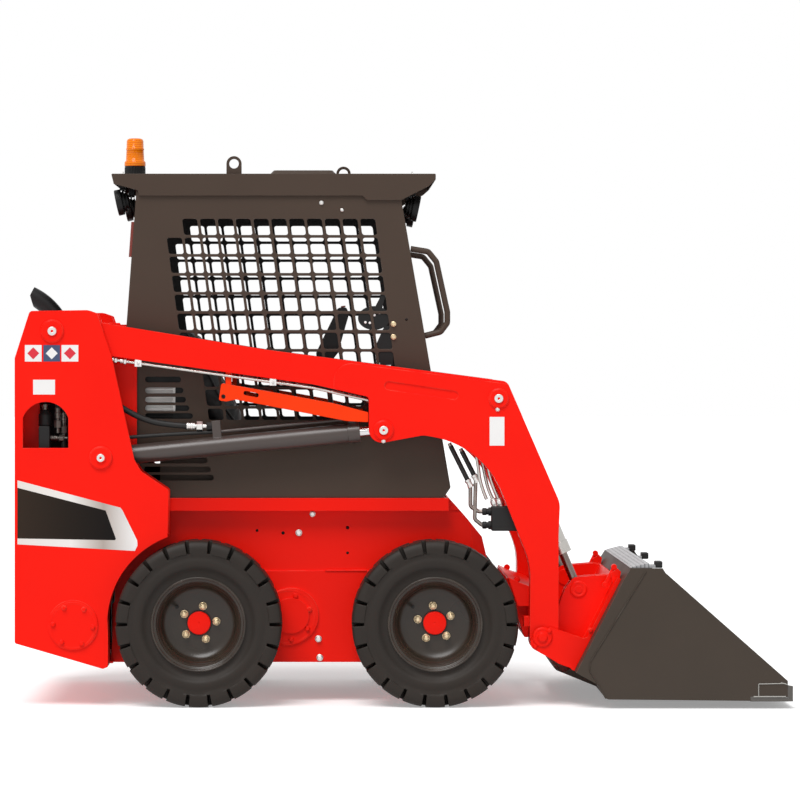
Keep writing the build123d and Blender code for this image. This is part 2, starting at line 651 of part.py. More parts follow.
# Tail lamp on the rear wall in side view: x, z
TAIL_LAMP = ((-970, 1585), (-960, 1585), (-950.5, 1710), (-961, 1710))
with BuildPart() as tail:
    for name, side in SIDES:
        with BuildSketch(side_plane(side * 350)):
            with BuildLine():
                Polyline(*TAIL_LAMP, close=True)
            make_face()
        extrude(amount=20, both=True)
save(tail, "tail_lamps")

# ---------------------------------------------------------------- operator's place
SEAT_Y = 230
# Seat box: middle x, length, width, height, wall
SEAT_BOX = (-545, 630, 670, 140, 10)
with BuildPart() as seat_base:
    box_x, box_length, box_width, box_height, box_wall = SEAT_BOX
    with BuildSketch(Plane.XY.offset(CAB_BOTTOM_Z)):
        with Locations((box_x, 0)):
            Rectangle(box_length, box_width)
    extrude(amount=box_height)
    with BuildSketch(Plane.XY.offset(CAB_BOTTOM_Z)):
        with Locations((box_x, 0)):
            Rectangle(box_length - 2 * box_wall, box_width - 2 * box_wall)
    extrude(amount=box_height - box_wall, mode=Mode.SUBTRACT)
save(seat_base, "seat_base")

# Cushion and backrest in side view: x, z, corner radius
SEAT_Z = CAB_BOTTOM_Z + SEAT_BOX[3] + SEAT_GAP
CUSHION = ((-600, SEAT_Z, 20), (-180, SEAT_Z, 30), (-170, 960, 40), (-560, 950, 20))
BACKREST = (
    (-700, SEAT_Z, 20), (-610, SEAT_Z, 20), (-563, 973, 20), (-768, 1349, 30), (-850, 1330, 30),
)
with BuildPart() as cushion:
    with BuildSketch(side_plane(SEAT_Y)):
        with BuildLine():
            bent(CUSHION)
        make_face()
    extrude(amount=2 * SEAT_Y)
save(cushion, "seat_cushion")

with BuildPart() as backrest:
    with BuildSketch(side_plane(SEAT_Y)):
        with BuildLine():
            bent(BACKREST)
        make_face()
    extrude(amount=2 * SEAT_Y)
save(backrest, "seat_back")

# Grip of a drive lever in side view: x, z, corner radius
GRIP = ((-304, 1243, 18), (-297, 1206, 20), (-262, 1196, 20), (-225, 1243, 12), (-185, 1384, 14),
        (-196, 1408, 12), (-226, 1404, 14))
LEVER_Y = 285
GRIP_WIDTH = 44
with BuildPart() as levers:
    for name, side in SIDES:
        y = side * LEVER_Y
        with BuildLine() as route:
            FilletPolyline((-250, y, CAB_BOTTOM_Z + 140), (-250, y, 1060), (-272, y, 1230),
                           radius=60)
        with BuildSketch(Plane(origin=(-250, y, CAB_BOTTOM_Z + 140), z_dir=(0, 0, 1))):
            Circle(9)
        sweep(path=route.line)
        with BuildSketch(side_plane(y + GRIP_WIDTH / 2)):
            with BuildLine():
                bent(GRIP)
            make_face()
        extrude(amount=GRIP_WIDTH)
save(levers, "control_levers")

# Instrument pod on the right side panel: middle x, z, half length, half height, depth
POD = (-97, 1367.5, 57, 42.5, 46)
cab_wall_y = -(CAB_Y - CAB_SKIN)
with BuildPart() as pod:
    pod_x, pod_z, pod_half, pod_rise, pod_depth = POD
    for inset, depth in ((0, pod_depth - 12), (9, pod_depth)):
        with BuildSketch(side_plane(cab_wall_y)):
            with Locations((pod_x, pod_z)):
                Ellipse(pod_half - inset, pod_rise - inset)
        extrude(amount=-depth)
    # strap above the pod and bracket below it, on the panel
    for rows in (((-100, 1395), (-70, 1395), (-56, 1448), (-70, 1452)),
                 ((-95, 1262), (-60, 1340), (-40, 1340), (-26, 1262), (-30, 1200), (-75, 1200))):
        with BuildSketch(side_plane(cab_wall_y)):
            with BuildLine():
                Polyline(*rows, close=True)
            make_face()
        extrude(amount=-5)
save(pod, "instrument_pod")

# ---------------------------------------------------------------- lift arms
TILT_PIN_R = 16
COUPLER_PIN_R = 20
# Inner end of the tilt pin, with its spacer and its collar: radius, from y, to y
TILT_PIN_STEPS = ((TILT_PIN_R, ARM_IN_Y, 350), (24, ARM_IN_Y, 397), (22, 357, 350))
KNEE_X = -240                   # rear edge of the outer plate
KNEE_EDGE = 9                   # the outer plate ends this much below the arm's top edge
LUG_SLOT = 50                   # width of the slot for the lift rod's eye
# Arm in side view: x, z, corner radius
ARM = (
    (-1296, 1270, 54), (-312, 1132, 200), (-117, 1088, 12), (-117, 918, 46), (75, 953, 60),
    (285, 918, 320), (452, 500, 250), (449, 194, 44), (551, 194, 44), (551, 600, 0),
    (556, 715, 80), (370, 1143, 28), (-472, 1254, 0), (-1296, 1388, 54),
)


def arm_top(x):
    """Height of the arm's upper edge ahead of the tower."""
    (x0, z0), (x1, z1) = ARM[12][:2], ARM[11][:2]
    return z0 + (x - x0) * (z1 - z0) / (x1 - x0)


def arm_under(x):
    """Height of the arm's lower edge between the tower and the knee."""
    (x0, z0), (x1, z1) = (ARM[0][:2], ARM[1][:2]) if x < ARM[1][0] else (ARM[1][:2], ARM[2][:2])
    return z0 + (x - x0) * (z1 - z0) / (x1 - x0)


def leg_rear(z):
    """Rear edge of the arm's leg at that height."""
    (x0, z0), (x1, z1) = ARM[5][:2], ARM[6][:2]
    return x0 + (z - z0) * (x1 - x0) / (z1 - z0)


for name, side in SIDES:
    with BuildPart() as arm:
        with BuildSketch(side_plane(side * ARM_IN_Y)):
            with BuildLine():
                bent(ARM)
            make_face()
        extrude(amount=-side * (ARM_OUT_Y - ARM_IN_Y))
        # outer plate over the knee
        with BuildSketch(side_plane(side * ARM_OUT_Y)):
            with BuildLine():
                bent(ARM)
            make_face()
            with BuildLine():
                bent(((KNEE_X, 0, 0), (KNEE_X, arm_top(KNEE_X) - KNEE_EDGE, 60),
                      (900, arm_top(900) - KNEE_EDGE, 0), (900, 0, 0)))
            make_face(mode=Mode.INTERSECT)
        extrude(amount=-side * KNEE_PLATE)
        # pressed recess in the knee plate
        with BuildSketch(side_plane(side * (ARM_OUT_Y + KNEE_PLATE - 4))):
            with Locations(Location((68, 1111), -8.4)):
                SlotOverall(262, 30)
        extrude(amount=-side * 10, mode=Mode.SUBTRACT)
        # bores for the arm pin and the coupler pin
        for (x, z), pin_r in ((ARM_PIVOT, ARM_PIN_R), (COUPLER_PIVOT, COUPLER_PIN_R)):
            with BuildSketch(side_plane(side * (ARM_IN_Y - 5))):
                with Locations((x, z)):
                    Circle(pin_r + RUN_GAP)
            extrude(amount=-side * (ARM_OUT_Y - ARM_IN_Y + 30), mode=Mode.SUBTRACT)
        # slot for the lift rod's eye
        with BuildSketch(side_plane(side * (LIFT_Y - LUG_SLOT / 2))):
            with BuildLine():
                Polyline((-140, 890), (35, 890), (35, 1020), (0, 1062), (-140, 1062), close=True)
            make_face()
        extrude(amount=-side * LUG_SLOT, mode=Mode.SUBTRACT)
        # outer bosses and pin heads
        for x, z in (LIFT_EYE, TILT_BASE):
            for radius, start, length in ((35, KNEE_PLATE, 6), (PIN_HEAD_R, KNEE_PLATE + 6, 6)):
                with BuildSketch(side_plane(side * (ARM_OUT_Y + start))):
                    with Locations((x, z)):
                        Circle(radius)
                extrude(amount=-side * length)
        # pin that carries the tilt cylinder inside the arm
        for radius, start, end in TILT_PIN_STEPS:
            with BuildSketch(side_plane(side * start)):
                with Locations(TILT_BASE):
                    Circle(radius)
            extrude(amount=side * (start - end))
        # stop block behind the foot
        with BuildSketch(side_plane(side * (ARM_IN_Y + 20))):
            with Locations((443, 296)):
                Rectangle(26, 35)
        extrude(amount=-side * 50)
    save(arm, f"arm_{name}")

# Cross member in side view, and its ends where they pass the coupler's ears: x, z, radius
CROSS = ((372, 447, 6), (437, 232, 6), (452, 232, 4), (470, 400, 4), (420, 428, 10))
CROSS_END = ((378, 447, 0), (412, 345, 0), (485, 345, 0), (485, 405, 0), (420, 428, 0))
CROSS_Y = WHEEL_Y - tyre_half - 6       # the deep part passes inside the tyres
with BuildPart() as cross:
    for reach, rows in ((CROSS_Y, CROSS), (ARM_IN_Y, CROSS_END)):
        with BuildSketch(side_plane(reach)):
            with BuildLine():
                bent(rows)
            make_face()
        extrude(amount=2 * reach)
save(cross, "arm_cross_member")

PIPE_R = 5
PIPE_DROP = 12                  # from the arm's lower edge to a pipe's middle
with BuildPart() as pipes:
    for name, side in SIDES:
        y = side * 500
        points = [(x, y, arm_under(x) - PIPE_DROP) for x in (-1020, -312, -118.6)]
        with BuildLine() as route:
            FilletPolyline(*points, radius=150)
        with BuildSketch(Plane(origin=points[0], z_dir=Vector(*points[1]) - Vector(*points[0]))):
            Circle(PIPE_R)
        sweep(path=route.line)
        # clamps under the arm
        for x in (-930, -455):
            with BuildSketch(side_plane(y + 10)):
                with BuildLine():
                    Polyline((x - 11, arm_under(x - 11)), (x - 11, arm_under(x) - 22),
                             (x + 11, arm_under(x) - 22), (x + 11, arm_under(x + 11)), close=True)
                make_face()
            extrude(amount=20)
save(pipes, "arm_pipes")

# Stored arm prop in side view: x, z, corner radius
BRACE = (
    (-637, 1137, 8), (-646, 1076, 8), (-620, 1072, 4), (-585, 1079, 4), (-194, 1003, 6),
    (-119, 999, 4), (-119, 1034, 4), (-243, 1066, 6), (-473, 1108, 0),
)
BRACE_Y = (422, 508)
BRACE_WALL = 5
with BuildPart() as braces:
    for name, side in SIDES:
        with BuildSketch(side_plane(side * BRACE_Y[0])):
            with BuildLine():
                bent(BRACE)
            make_face()
        extrude(amount=-side * (BRACE_Y[1] - BRACE_Y[0]))
        with BuildSketch(side_plane(side * (BRACE_Y[0] + BRACE_WALL))):
            with BuildLine():
                Polyline((-660, 1128), (-632, 1128), (-473, 1102), (-243, 1060), (-190, 1046),
                         (-190, 1100), (-100, 1100), (-100, 980), (-660, 1040), close=True)
            make_face()
        extrude(amount=-side * (BRACE_Y[1] - BRACE_Y[0] - 2 * BRACE_WALL), mode=Mode.SUBTRACT)
        # pin hole at the end, slot beside it
        with BuildSketch(side_plane(side * (BRACE_Y[0] - 5))):
            with Locations((-630, 1089)):
                Circle(8)
            with Locations(Location((-532, 1098), -11)):
                SlotOverall(54, 15)
        extrude(amount=-side * (BRACE_Y[1] - BRACE_Y[0] + 10), mode=Mode.SUBTRACT)
        # hanger up to the arm
        with BuildSketch(side_plane(side * LIFT_Y + 30)):
            with BuildLine():
                Polyline((-622, 1125), (-602, 1125), (-602, arm_under(-602)),
                         (-622, arm_under(-622)), close=True)
            make_face()
        extrude(amount=60)
save(braces, "arm_braces")

with BuildPart() as aux:
    # two pipes from the knee down to the quick couplers' block on the right arm
    y = -450
    for points in (((168, 924), (243, 774), (243, 700), (272, 682), (330, 682)),
                   ((208, 905), (262, 799), (258, 655), (284, 634), (330, 634))):
        with BuildLine() as route:
            FilletPolyline(*[(x, y, z) for x, z in points], radius=16)
        (x0, z0), (x1, z1) = points[:2]
        with BuildSketch(Plane(origin=(x0, y, z0), z_dir=(x1 - x0, 0, z1 - z0))):
            Circle(7)
        sweep(path=route.line)
    with BuildSketch(side_plane(y + 30)):
        with BuildLine():
            Polyline((318, 616), (leg_rear(616), 616), (leg_rear(700), 700), (318, 700), close=True)
        make_face()
    extrude(amount=60)
save(aux, "aux_lines")

# ---------------------------------------------------------------- cylinders
# kind, base, eye, middle y, eye half width, base eye r, pin r, barrel r, bore r, rod r,
# gland r, barrel end from the base, rod eye r, piston from the base
CYLINDERS = (
    ("lift", LIFT_BASE, LIFT_EYE, LIFT_Y, 24, 40, LIFT_PIN_R, 34, 28, 18, 37, 916, 34, 80),
    ("tilt", TILT_BASE, TILT_EYE, TILT_Y, 17, 29, TILT_PIN_R, 30, 24, 15, 33, 600, 28, 160),
)
PORT_X = (398, 428)             # bracket on the lift barrel, from the base
PORT_RISE = 56
LINE_R = 6
LINE_RISE = 50                  # middle of the hard line, from the barrel's middle
for (kind, base, eye, middle, eye_half, base_r, pin_r, barrel_r, bore_r, rod_r, gland_r,
     barrel_end, eye_r, piston) in CYLINDERS:
    length = math.dist(base, eye)
    for name, side in SIDES:
        y = side * middle
        plane = rod_plane(base, eye, y)
        axis = Axis(plane.origin, plane.x_dir)
        with BuildPart() as barrel:
            with BuildSketch(plane):
                with BuildLine():
                    Polyline((base_r - 8, 0), (base_r - 8, eye_half - 2), (base_r + 10, barrel_r),
                             (barrel_end - 42, barrel_r),
                             (barrel_end - 42, gland_r), (barrel_end, gland_r),
                             (barrel_end, rod_r + RUN_GAP), (barrel_end - 36, rod_r + RUN_GAP),
                             (barrel_end - 36, bore_r), (base_r + 20, bore_r), (base_r + 20, 0),
                             close=True)
                make_face()
            revolve(axis=axis)
            with BuildSketch(side_plane(y + eye_half, base[0], base[1])):
                Circle(base_r)
            extrude(amount=2 * eye_half)
            with BuildSketch(side_plane(y + eye_half + 30, base[0], base[1])):
                Circle(pin_r + RUN_GAP)
            extrude(amount=2 * eye_half + 60, mode=Mode.SUBTRACT)
            if kind == "lift":
                # bracket for the hose ends, and the hard line from it to the gland
                with BuildSketch(rod_plane(base, eye, y + 15)):
                    with Locations((sum(PORT_X) / 2, barrel_r - 2 + PORT_RISE / 2)):
                        Rectangle(PORT_X[1] - PORT_X[0], PORT_RISE + 4)
                extrude(amount=30)
                with BuildSketch(Plane(origin=plane.from_local_coords((PORT_X[1], LINE_RISE, 0)),
                                       z_dir=plane.x_dir)):
                    Circle(LINE_R)
                extrude(amount=barrel_end - 20 - PORT_X[1])
                with BuildSketch(rod_plane(base, eye, y + 8)):
                    with Locations((barrel_end - 24, (gland_r + LINE_RISE + LINE_R) / 2)):
                        Rectangle(24, LINE_RISE + LINE_R - gland_r + 6)
                extrude(amount=16)
        save(barrel, f"{kind}_barrel_{name}")

        with BuildPart() as rod:
            with BuildSketch(plane):
                with BuildLine():
                    Polyline((piston, 0), (piston, bore_r - RUN_GAP),
                             (piston + 30, bore_r - RUN_GAP), (piston + 30, rod_r),
                             (length - eye_r / 2, rod_r), (length - eye_r / 2, 0), close=True)
                make_face()
            revolve(axis=axis)
            with BuildSketch(side_plane(y + eye_half, eye[0], eye[1])):
                Circle(eye_r)
            extrude(amount=2 * eye_half)
        save(rod, f"{kind}_rod_{name}")

# ---------------------------------------------------------------- coupler and bucket
EAR_IN_Y = 395                  # inner face of the ear inside the arm
EAR_OUT_Y = 523                 # inner face of the ear outside the arm
EAR_FAR_Y = 340                 # inner face of the tilt eye's far ear

# Lower ear, outside the arm: x, z, corner radius
EAR_LOWER = (
    (523, 279, 12), (444, 240, 30), (456, 205, 20), (510, 175, 0), (551, 150, 8), (590, 136, 0),
    (605, 125, 0), (668, 248, 0), (636, 240, 10),
)
# Ears that hold the tilt rod's eye: x, z, corner radius
EAR_UPPER = (
    (444, 240, 30), (456, 205, 20), (510, 175, 0), (551, 150, 8), (590, 136, 0), (605, 125, 0),
    (668, 248, 0), (770, 447, 4), (735, 457, 10), (610, 447, 30), (580, 405, 20), (540, 300, 20),
)
with BuildPart() as coupler:
    for name, side in SIDES:
        for inner, rows in ((EAR_IN_Y, EAR_UPPER), (EAR_OUT_Y, EAR_LOWER)):
            with BuildSketch(side_plane(side * inner)):
                with BuildLine():
                    bent(rows)
                make_face()
            extrude(amount=-side * PLATE)
        with BuildSketch(side_plane(side * EAR_FAR_Y)):
            with BuildLine():
                bent(EAR_UPPER[3:])
            make_face()
        extrude(amount=-side * PLATE)
        # coupler pin through both ears and the arm
        with BuildSketch(side_plane(side * EAR_IN_Y)):
            with Locations(COUPLER_PIVOT):
                Circle(COUPLER_PIN_R)
        extrude(amount=-side * (EAR_OUT_Y + PLATE - EAR_IN_Y))
        head_y = EAR_OUT_Y + PLATE
        for radius, start, thick in ((34, head_y, 5), (PIN_HEAD_R, head_y + 5, 6)):
            with BuildSketch(side_plane(side * start)):
                with Locations(COUPLER_PIVOT):
                    Circle(radius)
            extrude(amount=-side * thick)
        # bosses of the tilt rod's pin
        for radius, start, thick in ((29, EAR_IN_Y + PLATE, 4), (13, EAR_IN_Y + PLATE + 4, 3),
                                     (29, EAR_FAR_Y, -6)):
            with BuildSketch(side_plane(side * start)):
                with Locations(TILT_EYE):
                    Circle(radius)
            extrude(amount=-side * thick)
    # front plate between the ears
    with BuildSketch(side_plane(EAR_OUT_Y + PLATE)):
        with BuildLine():
            Polyline((605, 125), (668, 248), (770, 447), (758, 453), (657, 254), (594, 131),
                     close=True)
        make_face()
    extrude(amount=2 * (EAR_OUT_Y + PLATE))
save(coupler, "coupler_frame")

# Latch housing in side view, on the front plate's top edge: x, z
LATCH = ((745.5, 428.4), (758, 453), (770, 447), (774, 470), (762, 482), (738, 466))
LATCH_Y = 460
LEVER_LOW, LEVER_TOP = (718, 424), (750, 487)       # ends of the latch lever: x, z
with BuildPart() as latches:
    for name, side in SIDES:
        with BuildSketch(side_plane(side * LATCH_Y + 16)):
            with BuildLine():
                Polyline(*LATCH, close=True)
            make_face()
        extrude(amount=32)
        # lever along the plate, with a knob at each end
        with BuildSketch(rod_plane(LEVER_LOW, LEVER_TOP, side * LATCH_Y + 6)):
            with Locations((math.dist(LEVER_LOW, LEVER_TOP) / 2, 0)):
                SlotCenterToCenter(math.dist(LEVER_LOW, LEVER_TOP), 12)
        extrude(amount=12)
        for place in (LEVER_LOW, LEVER_TOP):
            with BuildSketch(side_plane(side * LATCH_Y + 12)):
                with Locations(place):
                    Circle(10)
            extrude(amount=24)
save(latches, "coupler_levers")

BUCKET_WALL = 8
EDGE_X = 1215                   # the floor meets the cutting edge here
# Bucket in side view: x, z, corner radius
BUCKET = (
    (855, 491, 6), (846, 478, 6), (653, 164, 10), (650, 132, 20), (684, 82, 20), (709, 33, 20),
    (EDGE_X, 28, 0), (EDGE_X, 42, 0), (1345, 42, 0), (1345, 98, 0), (918, 475, 0), (908, 491, 0),
)
# Inside of the bucket: x, z, corner radius
BUCKET_HOLLOW = (
    (864, 483, 6), (662, 158, 10), (659, 136, 16), (692, 87, 16), (716, 41, 16), (1390, 36, 0),
    (1390, 200, 0), (980, 560, 0), (900, 560, 0),
)
# Frame along the bucket's back in side view: x, z
BACK_FRAME = (
    (606, 126), (668.3, 248), (770.3, 447), (798, 491), (858, 491), (858, 484), (660, 162),
    (656, 136), (684, 88), (680, 84),
)
# Plate with the lower hook in side view: x, z
HOOK = (
    (605.3, 125), (668.3, 248), (664, 170), (664, 132), (692, 84), (700, 54), (552, 114),
    (544, 122), (548, 128), (575, 105),
)
HOOK_Y = 375
with BuildPart() as bucket:
    with BuildSketch(side_plane(BUCKET_Y)):
        with BuildLine():
            bent(BUCKET)
        make_face()
    extrude(amount=2 * BUCKET_Y)
    with BuildSketch(side_plane(BUCKET_Y - BUCKET_WALL)):
        with BuildLine():
            bent(BUCKET_HOLLOW)
        make_face()
    extrude(amount=2 * (BUCKET_Y - BUCKET_WALL), mode=Mode.SUBTRACT)
    # frame along the back, and the plate with the lower hook that hangs on the coupler
    for reach, rows in ((BUCKET_Y, BACK_FRAME), (HOOK_Y, HOOK)):
        with BuildSketch(side_plane(reach)):
            with BuildLine():
                Polyline(*rows, close=True)
            make_face()
        extrude(amount=2 * reach)
save(bucket, "bucket")

# Step on the bucket's top edge: a folded tread plate and three stops along the rim
STEP = ((796, 491.3), (812, 497), (852, 507), (862, 507), (862, 491.3))
STEP_Y = 606
STOPS = (-575, 0, 575)
with BuildPart() as step:
    with BuildSketch(side_plane(STEP_Y)):
        with BuildLine():
            Polyline(*STEP, close=True)
        make_face()
    extrude(amount=2 * STEP_Y)
    for y in STOPS:
        with BuildSketch(Plane.XY.offset(491.3)):
            with Locations((884, y)):
                Rectangle(44, 60)
        extrude(amount=10)
        with BuildSketch(Plane.XY.offset(491.3)):
            with Locations((897, y)):
                Rectangle(18, 60)
        extrude(amount=18)
save(step, "bucket_step")

with BuildPart() as edge:
    with BuildSketch(side_plane(BUCKET_Y)):
        with BuildLine():
            Polyline((EDGE_X, 26), (LIP_X, 26), (LIP_X, 30), (LIP_X - 28, 42), (EDGE_X, 42),
                     close=True)
        make_face()
    extrude(amount=2 * BUCKET_Y)
    # bits that close the front of the side plates
    for name, side in SIDES:
        with BuildSketch(side_plane(side * (BUCKET_Y - 16))):
            with BuildLine():
                Polyline((1345, 40), (LIP_X, 28), (LIP_X, 79), (1345, 82), close=True)
            make_face()
        extrude(amount=-side * 16)
save(edge, "cutting_edge")
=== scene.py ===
# %% [markdown]
# # A skid steer loader, dressed for its portrait
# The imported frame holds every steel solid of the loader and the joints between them. This lesson
# gives each of them its paint, rubber or bare metal, and adds what is too small or too soft for
# the frame: lugged tyres, wheel nuts, bolts, hoses, cushions, lamps and plates.

# %% Open the frame
import json
import math
import random

import bmesh
import bpy
from mathutils import Matrix, Vector
from mathutils.bvhtree import BVHTree

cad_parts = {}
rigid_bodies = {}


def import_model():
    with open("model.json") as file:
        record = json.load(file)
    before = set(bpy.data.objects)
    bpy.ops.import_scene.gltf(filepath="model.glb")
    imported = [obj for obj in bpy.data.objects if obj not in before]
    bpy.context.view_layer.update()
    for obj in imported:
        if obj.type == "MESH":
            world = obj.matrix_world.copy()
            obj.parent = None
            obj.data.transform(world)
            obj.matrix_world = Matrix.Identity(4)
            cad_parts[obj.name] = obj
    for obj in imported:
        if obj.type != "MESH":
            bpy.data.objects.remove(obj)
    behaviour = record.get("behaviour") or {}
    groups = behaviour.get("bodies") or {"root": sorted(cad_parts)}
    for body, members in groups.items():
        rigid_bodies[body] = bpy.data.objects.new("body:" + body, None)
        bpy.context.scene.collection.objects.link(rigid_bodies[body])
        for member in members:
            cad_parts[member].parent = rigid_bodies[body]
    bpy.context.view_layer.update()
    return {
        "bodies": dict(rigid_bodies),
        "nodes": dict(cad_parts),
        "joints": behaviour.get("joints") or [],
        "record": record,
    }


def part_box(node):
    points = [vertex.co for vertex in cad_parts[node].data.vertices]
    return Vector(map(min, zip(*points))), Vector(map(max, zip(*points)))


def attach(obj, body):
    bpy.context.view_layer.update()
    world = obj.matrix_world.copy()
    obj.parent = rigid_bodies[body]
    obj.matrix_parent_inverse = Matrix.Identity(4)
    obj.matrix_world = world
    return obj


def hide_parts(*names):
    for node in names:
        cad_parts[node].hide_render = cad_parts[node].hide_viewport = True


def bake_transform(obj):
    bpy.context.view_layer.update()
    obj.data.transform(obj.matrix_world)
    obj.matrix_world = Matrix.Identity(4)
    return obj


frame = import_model()
nodes = frame["nodes"]


# %% [markdown]
# ## Sizes in millimetres
# Builders of machines think in millimetres and Blender thinks in metres, so one small helper
# turns a point from the first into the second. The row frame has X forward, Y to the left and
# Z up, and the tyres stand on Z = 0.

# %% Points and places
MM = 0.001
SIDES = {"right": -1, "left": 1}
UP = (0, 0, 1)


def mm(x, y, z):
    """A point given in millimetres."""
    return Vector((x, y, z)) * MM


def span(node):
    """Lowest and highest corner of a frame node, in millimetres."""
    low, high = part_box(node)
    return low / MM, high / MM


wheel_low, wheel_high = span("tyre_front_right")
TYRE_R = (wheel_high.z - wheel_low.z) / 2
TYRE_WIDTH = wheel_high.y - wheel_low.y
WHEEL_Y = -(wheel_low.y + wheel_high.y) / 2
AXLES = {
    "front": (wheel_low.x + wheel_high.x) / 2,
    "rear": sum(c.x for c in span("tyre_rear_right")) / 2,
}
print("tyre radius", round(TYRE_R), "axles at", {k: round(v) for k, v in AXLES.items()})

# %% Flat faces
# How far the faces that carry bolts and labels lie from the machine's middle plane
TUB_FACE, RAIL_FACE, CAB_INSIDE, CAB_FACE = 339, 345, 386, 390
ARM_FACE, TOWER_FACE, FOOT_FACE, COVER_FACE = 518, 532, 535, 538
print("tower faces are", 2 * TOWER_FACE, "mm apart")


# %% [markdown]
# ## The camera
# The portrait is taken from the right side with a long lens, level with the arms' knees, so
# that the machine looks almost like its side drawing and only a little of the far side shows.

# %% Camera
scene = bpy.context.scene


def put(name, data):
    """A new object in the scene."""
    made = bpy.data.objects.new(name, data)
    scene.collection.objects.link(made)
    return made


camera_data = bpy.data.cameras.new("portrait_camera")
camera_data.sensor_width = 36.0
camera_data.lens = 170.865
camera_data.shift_x = 0.09375
camera_data.shift_y = -0.05875
camera_data.clip_end = 200
camera = put("portrait_camera", camera_data)
camera.location = mm(-271.5, -13885, 1243)
camera.rotation_euler = (math.radians(90), 0, 0)
scene.camera = camera
print("lens", round(camera_data.lens, 1), "mm")


# %% [markdown]
# ## Light and floor
# A studio shot on white needs soft light from everywhere and one broad key from above the
# camera. The world is a plain grey for light that scatters, and white for what the lens or a
# shiny surface sees, so that the background stays white without washing out the paint. Every
# light and finish here is a tree of shader nodes, so a few helpers for trees come first.

# %% Node helpers
def add(tree, kind, feeds=(), **settings):
    """A shader node; feeds gives its inputs plain values, or sockets to link."""
    node = tree.nodes.new("ShaderNode" + kind)
    for label, value in settings.items():
        setattr(node, label, value)
    for label, value in dict(feeds).items():
        fill(tree, node.inputs[label], value)
    return node


def fill(tree, socket, value):
    """Sets an input, or links it where value is a socket. Colours may leave out their alpha."""
    if isinstance(value, bpy.types.NodeSocket):
        tree.links.new(value, socket)
    elif value is not None:
        socket.default_value = (*value, 1) if socket.type == "RGBA" else value


def math_node(tree, operation, first, second=None, clamp=False):
    """The output of a Math node fed by sockets or plain numbers."""
    return add(tree, "Math", {0: first, 1: second}, operation=operation,
               use_clamp=clamp).outputs[0]


def seen_by(tree, *rays):
    """1 for rays of the named kinds, and 0 for the others."""
    kinds = [add(tree, "LightPath").outputs[f"Is {ray} Ray"] for ray in rays]
    found = kinds[0]
    for kind in kinds[1:]:
        found = math_node(tree, "MAXIMUM", found, kind)
    return found


def new_material(name, values):
    """A material with values in its Principled shader; returns it, its tree and the shader."""
    material = bpy.data.materials.new(name)
    material.use_nodes = True
    tree = material.node_tree
    shader = tree.nodes["Principled BSDF"]
    for label, value in values.items():
        fill(tree, shader.inputs[label], value)
    return material, tree, shader


print("node helpers ready")

# %% World
WORLD_LIGHT = 0.5
scene.view_settings.view_transform = "Standard"
scene.world = bpy.data.worlds.new("studio")
scene.world.use_nodes = True
sky = scene.world.node_tree
sky.nodes.clear()
scattered, seen = (add(sky, "Background", {"Color": (1, 1, 1), "Strength": strength}).outputs[0]
                   for strength in (WORLD_LIGHT, 1.0))
sky_mix = add(sky, "MixShader", {"Fac": seen_by(sky, "Camera", "Glossy", "Transmission"),
                                 1: scattered, 2: seen})
add(sky, "OutputWorld", {"Surface": sky_mix.outputs[0]})
print("world light", WORLD_LIGHT)

# %% Key light
KEY_STRENGTH = 2.4
key_data = bpy.data.lights.new("key", "SUN")
key_data.energy = KEY_STRENGTH
key_data.angle = math.radians(35)
key = put("key", key_data)
key.rotation_euler = (math.radians(34), 0, math.radians(-22))
print("key strength", KEY_STRENGTH)

# %% Floor
FLOOR_GLOW = 0.3
bpy.ops.mesh.primitive_plane_add(size=120, location=(0, 0, 0))
floor = bpy.context.object
floor.name = "studio_floor"
floor_paint, tree, shader = new_material("studio_floor", {
    "Base Color": (0.84, 0.84, 0.84), "Roughness": 0.9, "Specular IOR Level": 0.1})
glow = add(tree, "Emission", {
    "Strength": math_node(tree, "MULTIPLY", seen_by(tree, "Camera", "Glossy"), FLOOR_GLOW)})
glowing = add(tree, "AddShader", {0: shader.outputs[0], 1: glow.outputs[0]})
tree.links.new(glowing.outputs[0], tree.nodes["Material Output"].inputs["Surface"])
floor.data.materials.append(floor_paint)
print("floor laid")


# %% [markdown]
# ## Effects that finishes share
# Worn edges, dust and the faint ripple of sprayed paint turn up on nearly every finish of this
# machine; on the red paint the same edge mask carries a painted highlight instead. Each is a
# node group with named inputs, made once, so that a finish only says how much of it there is.

# %% Group helper
def new_group(name, inputs, outputs):
    """An empty node group; returns it, what its inputs give and what its outputs take."""
    group = bpy.data.node_groups.new(name, "ShaderNodeTree")
    for label, value in inputs.items():
        kind = "Float" if isinstance(value, float) else "Vector"
        group.interface.new_socket(label, in_out="INPUT",
                                   socket_type="NodeSocket" + kind).default_value = value
    for label, kind in outputs.items():
        group.interface.new_socket(label, in_out="OUTPUT", socket_type="NodeSocket" + kind)
    given, out = (group.nodes.new("NodeGroup" + way) for way in ("Input", "Output"))
    return group, given.outputs, out.inputs


def place_in(tree):
    """Where a point of the surface lies on its object."""
    return add(tree, "TexCoord").outputs["Object"]


def cloud(tree, scale, detail, **feeds):
    """Soft noise over the surface; returns its height."""
    return add(tree, "TexNoise", {"Vector": place_in(tree), "Scale": scale, "Detail": detail,
                                  **feeds}).outputs["Fac"]


print("group helpers ready")
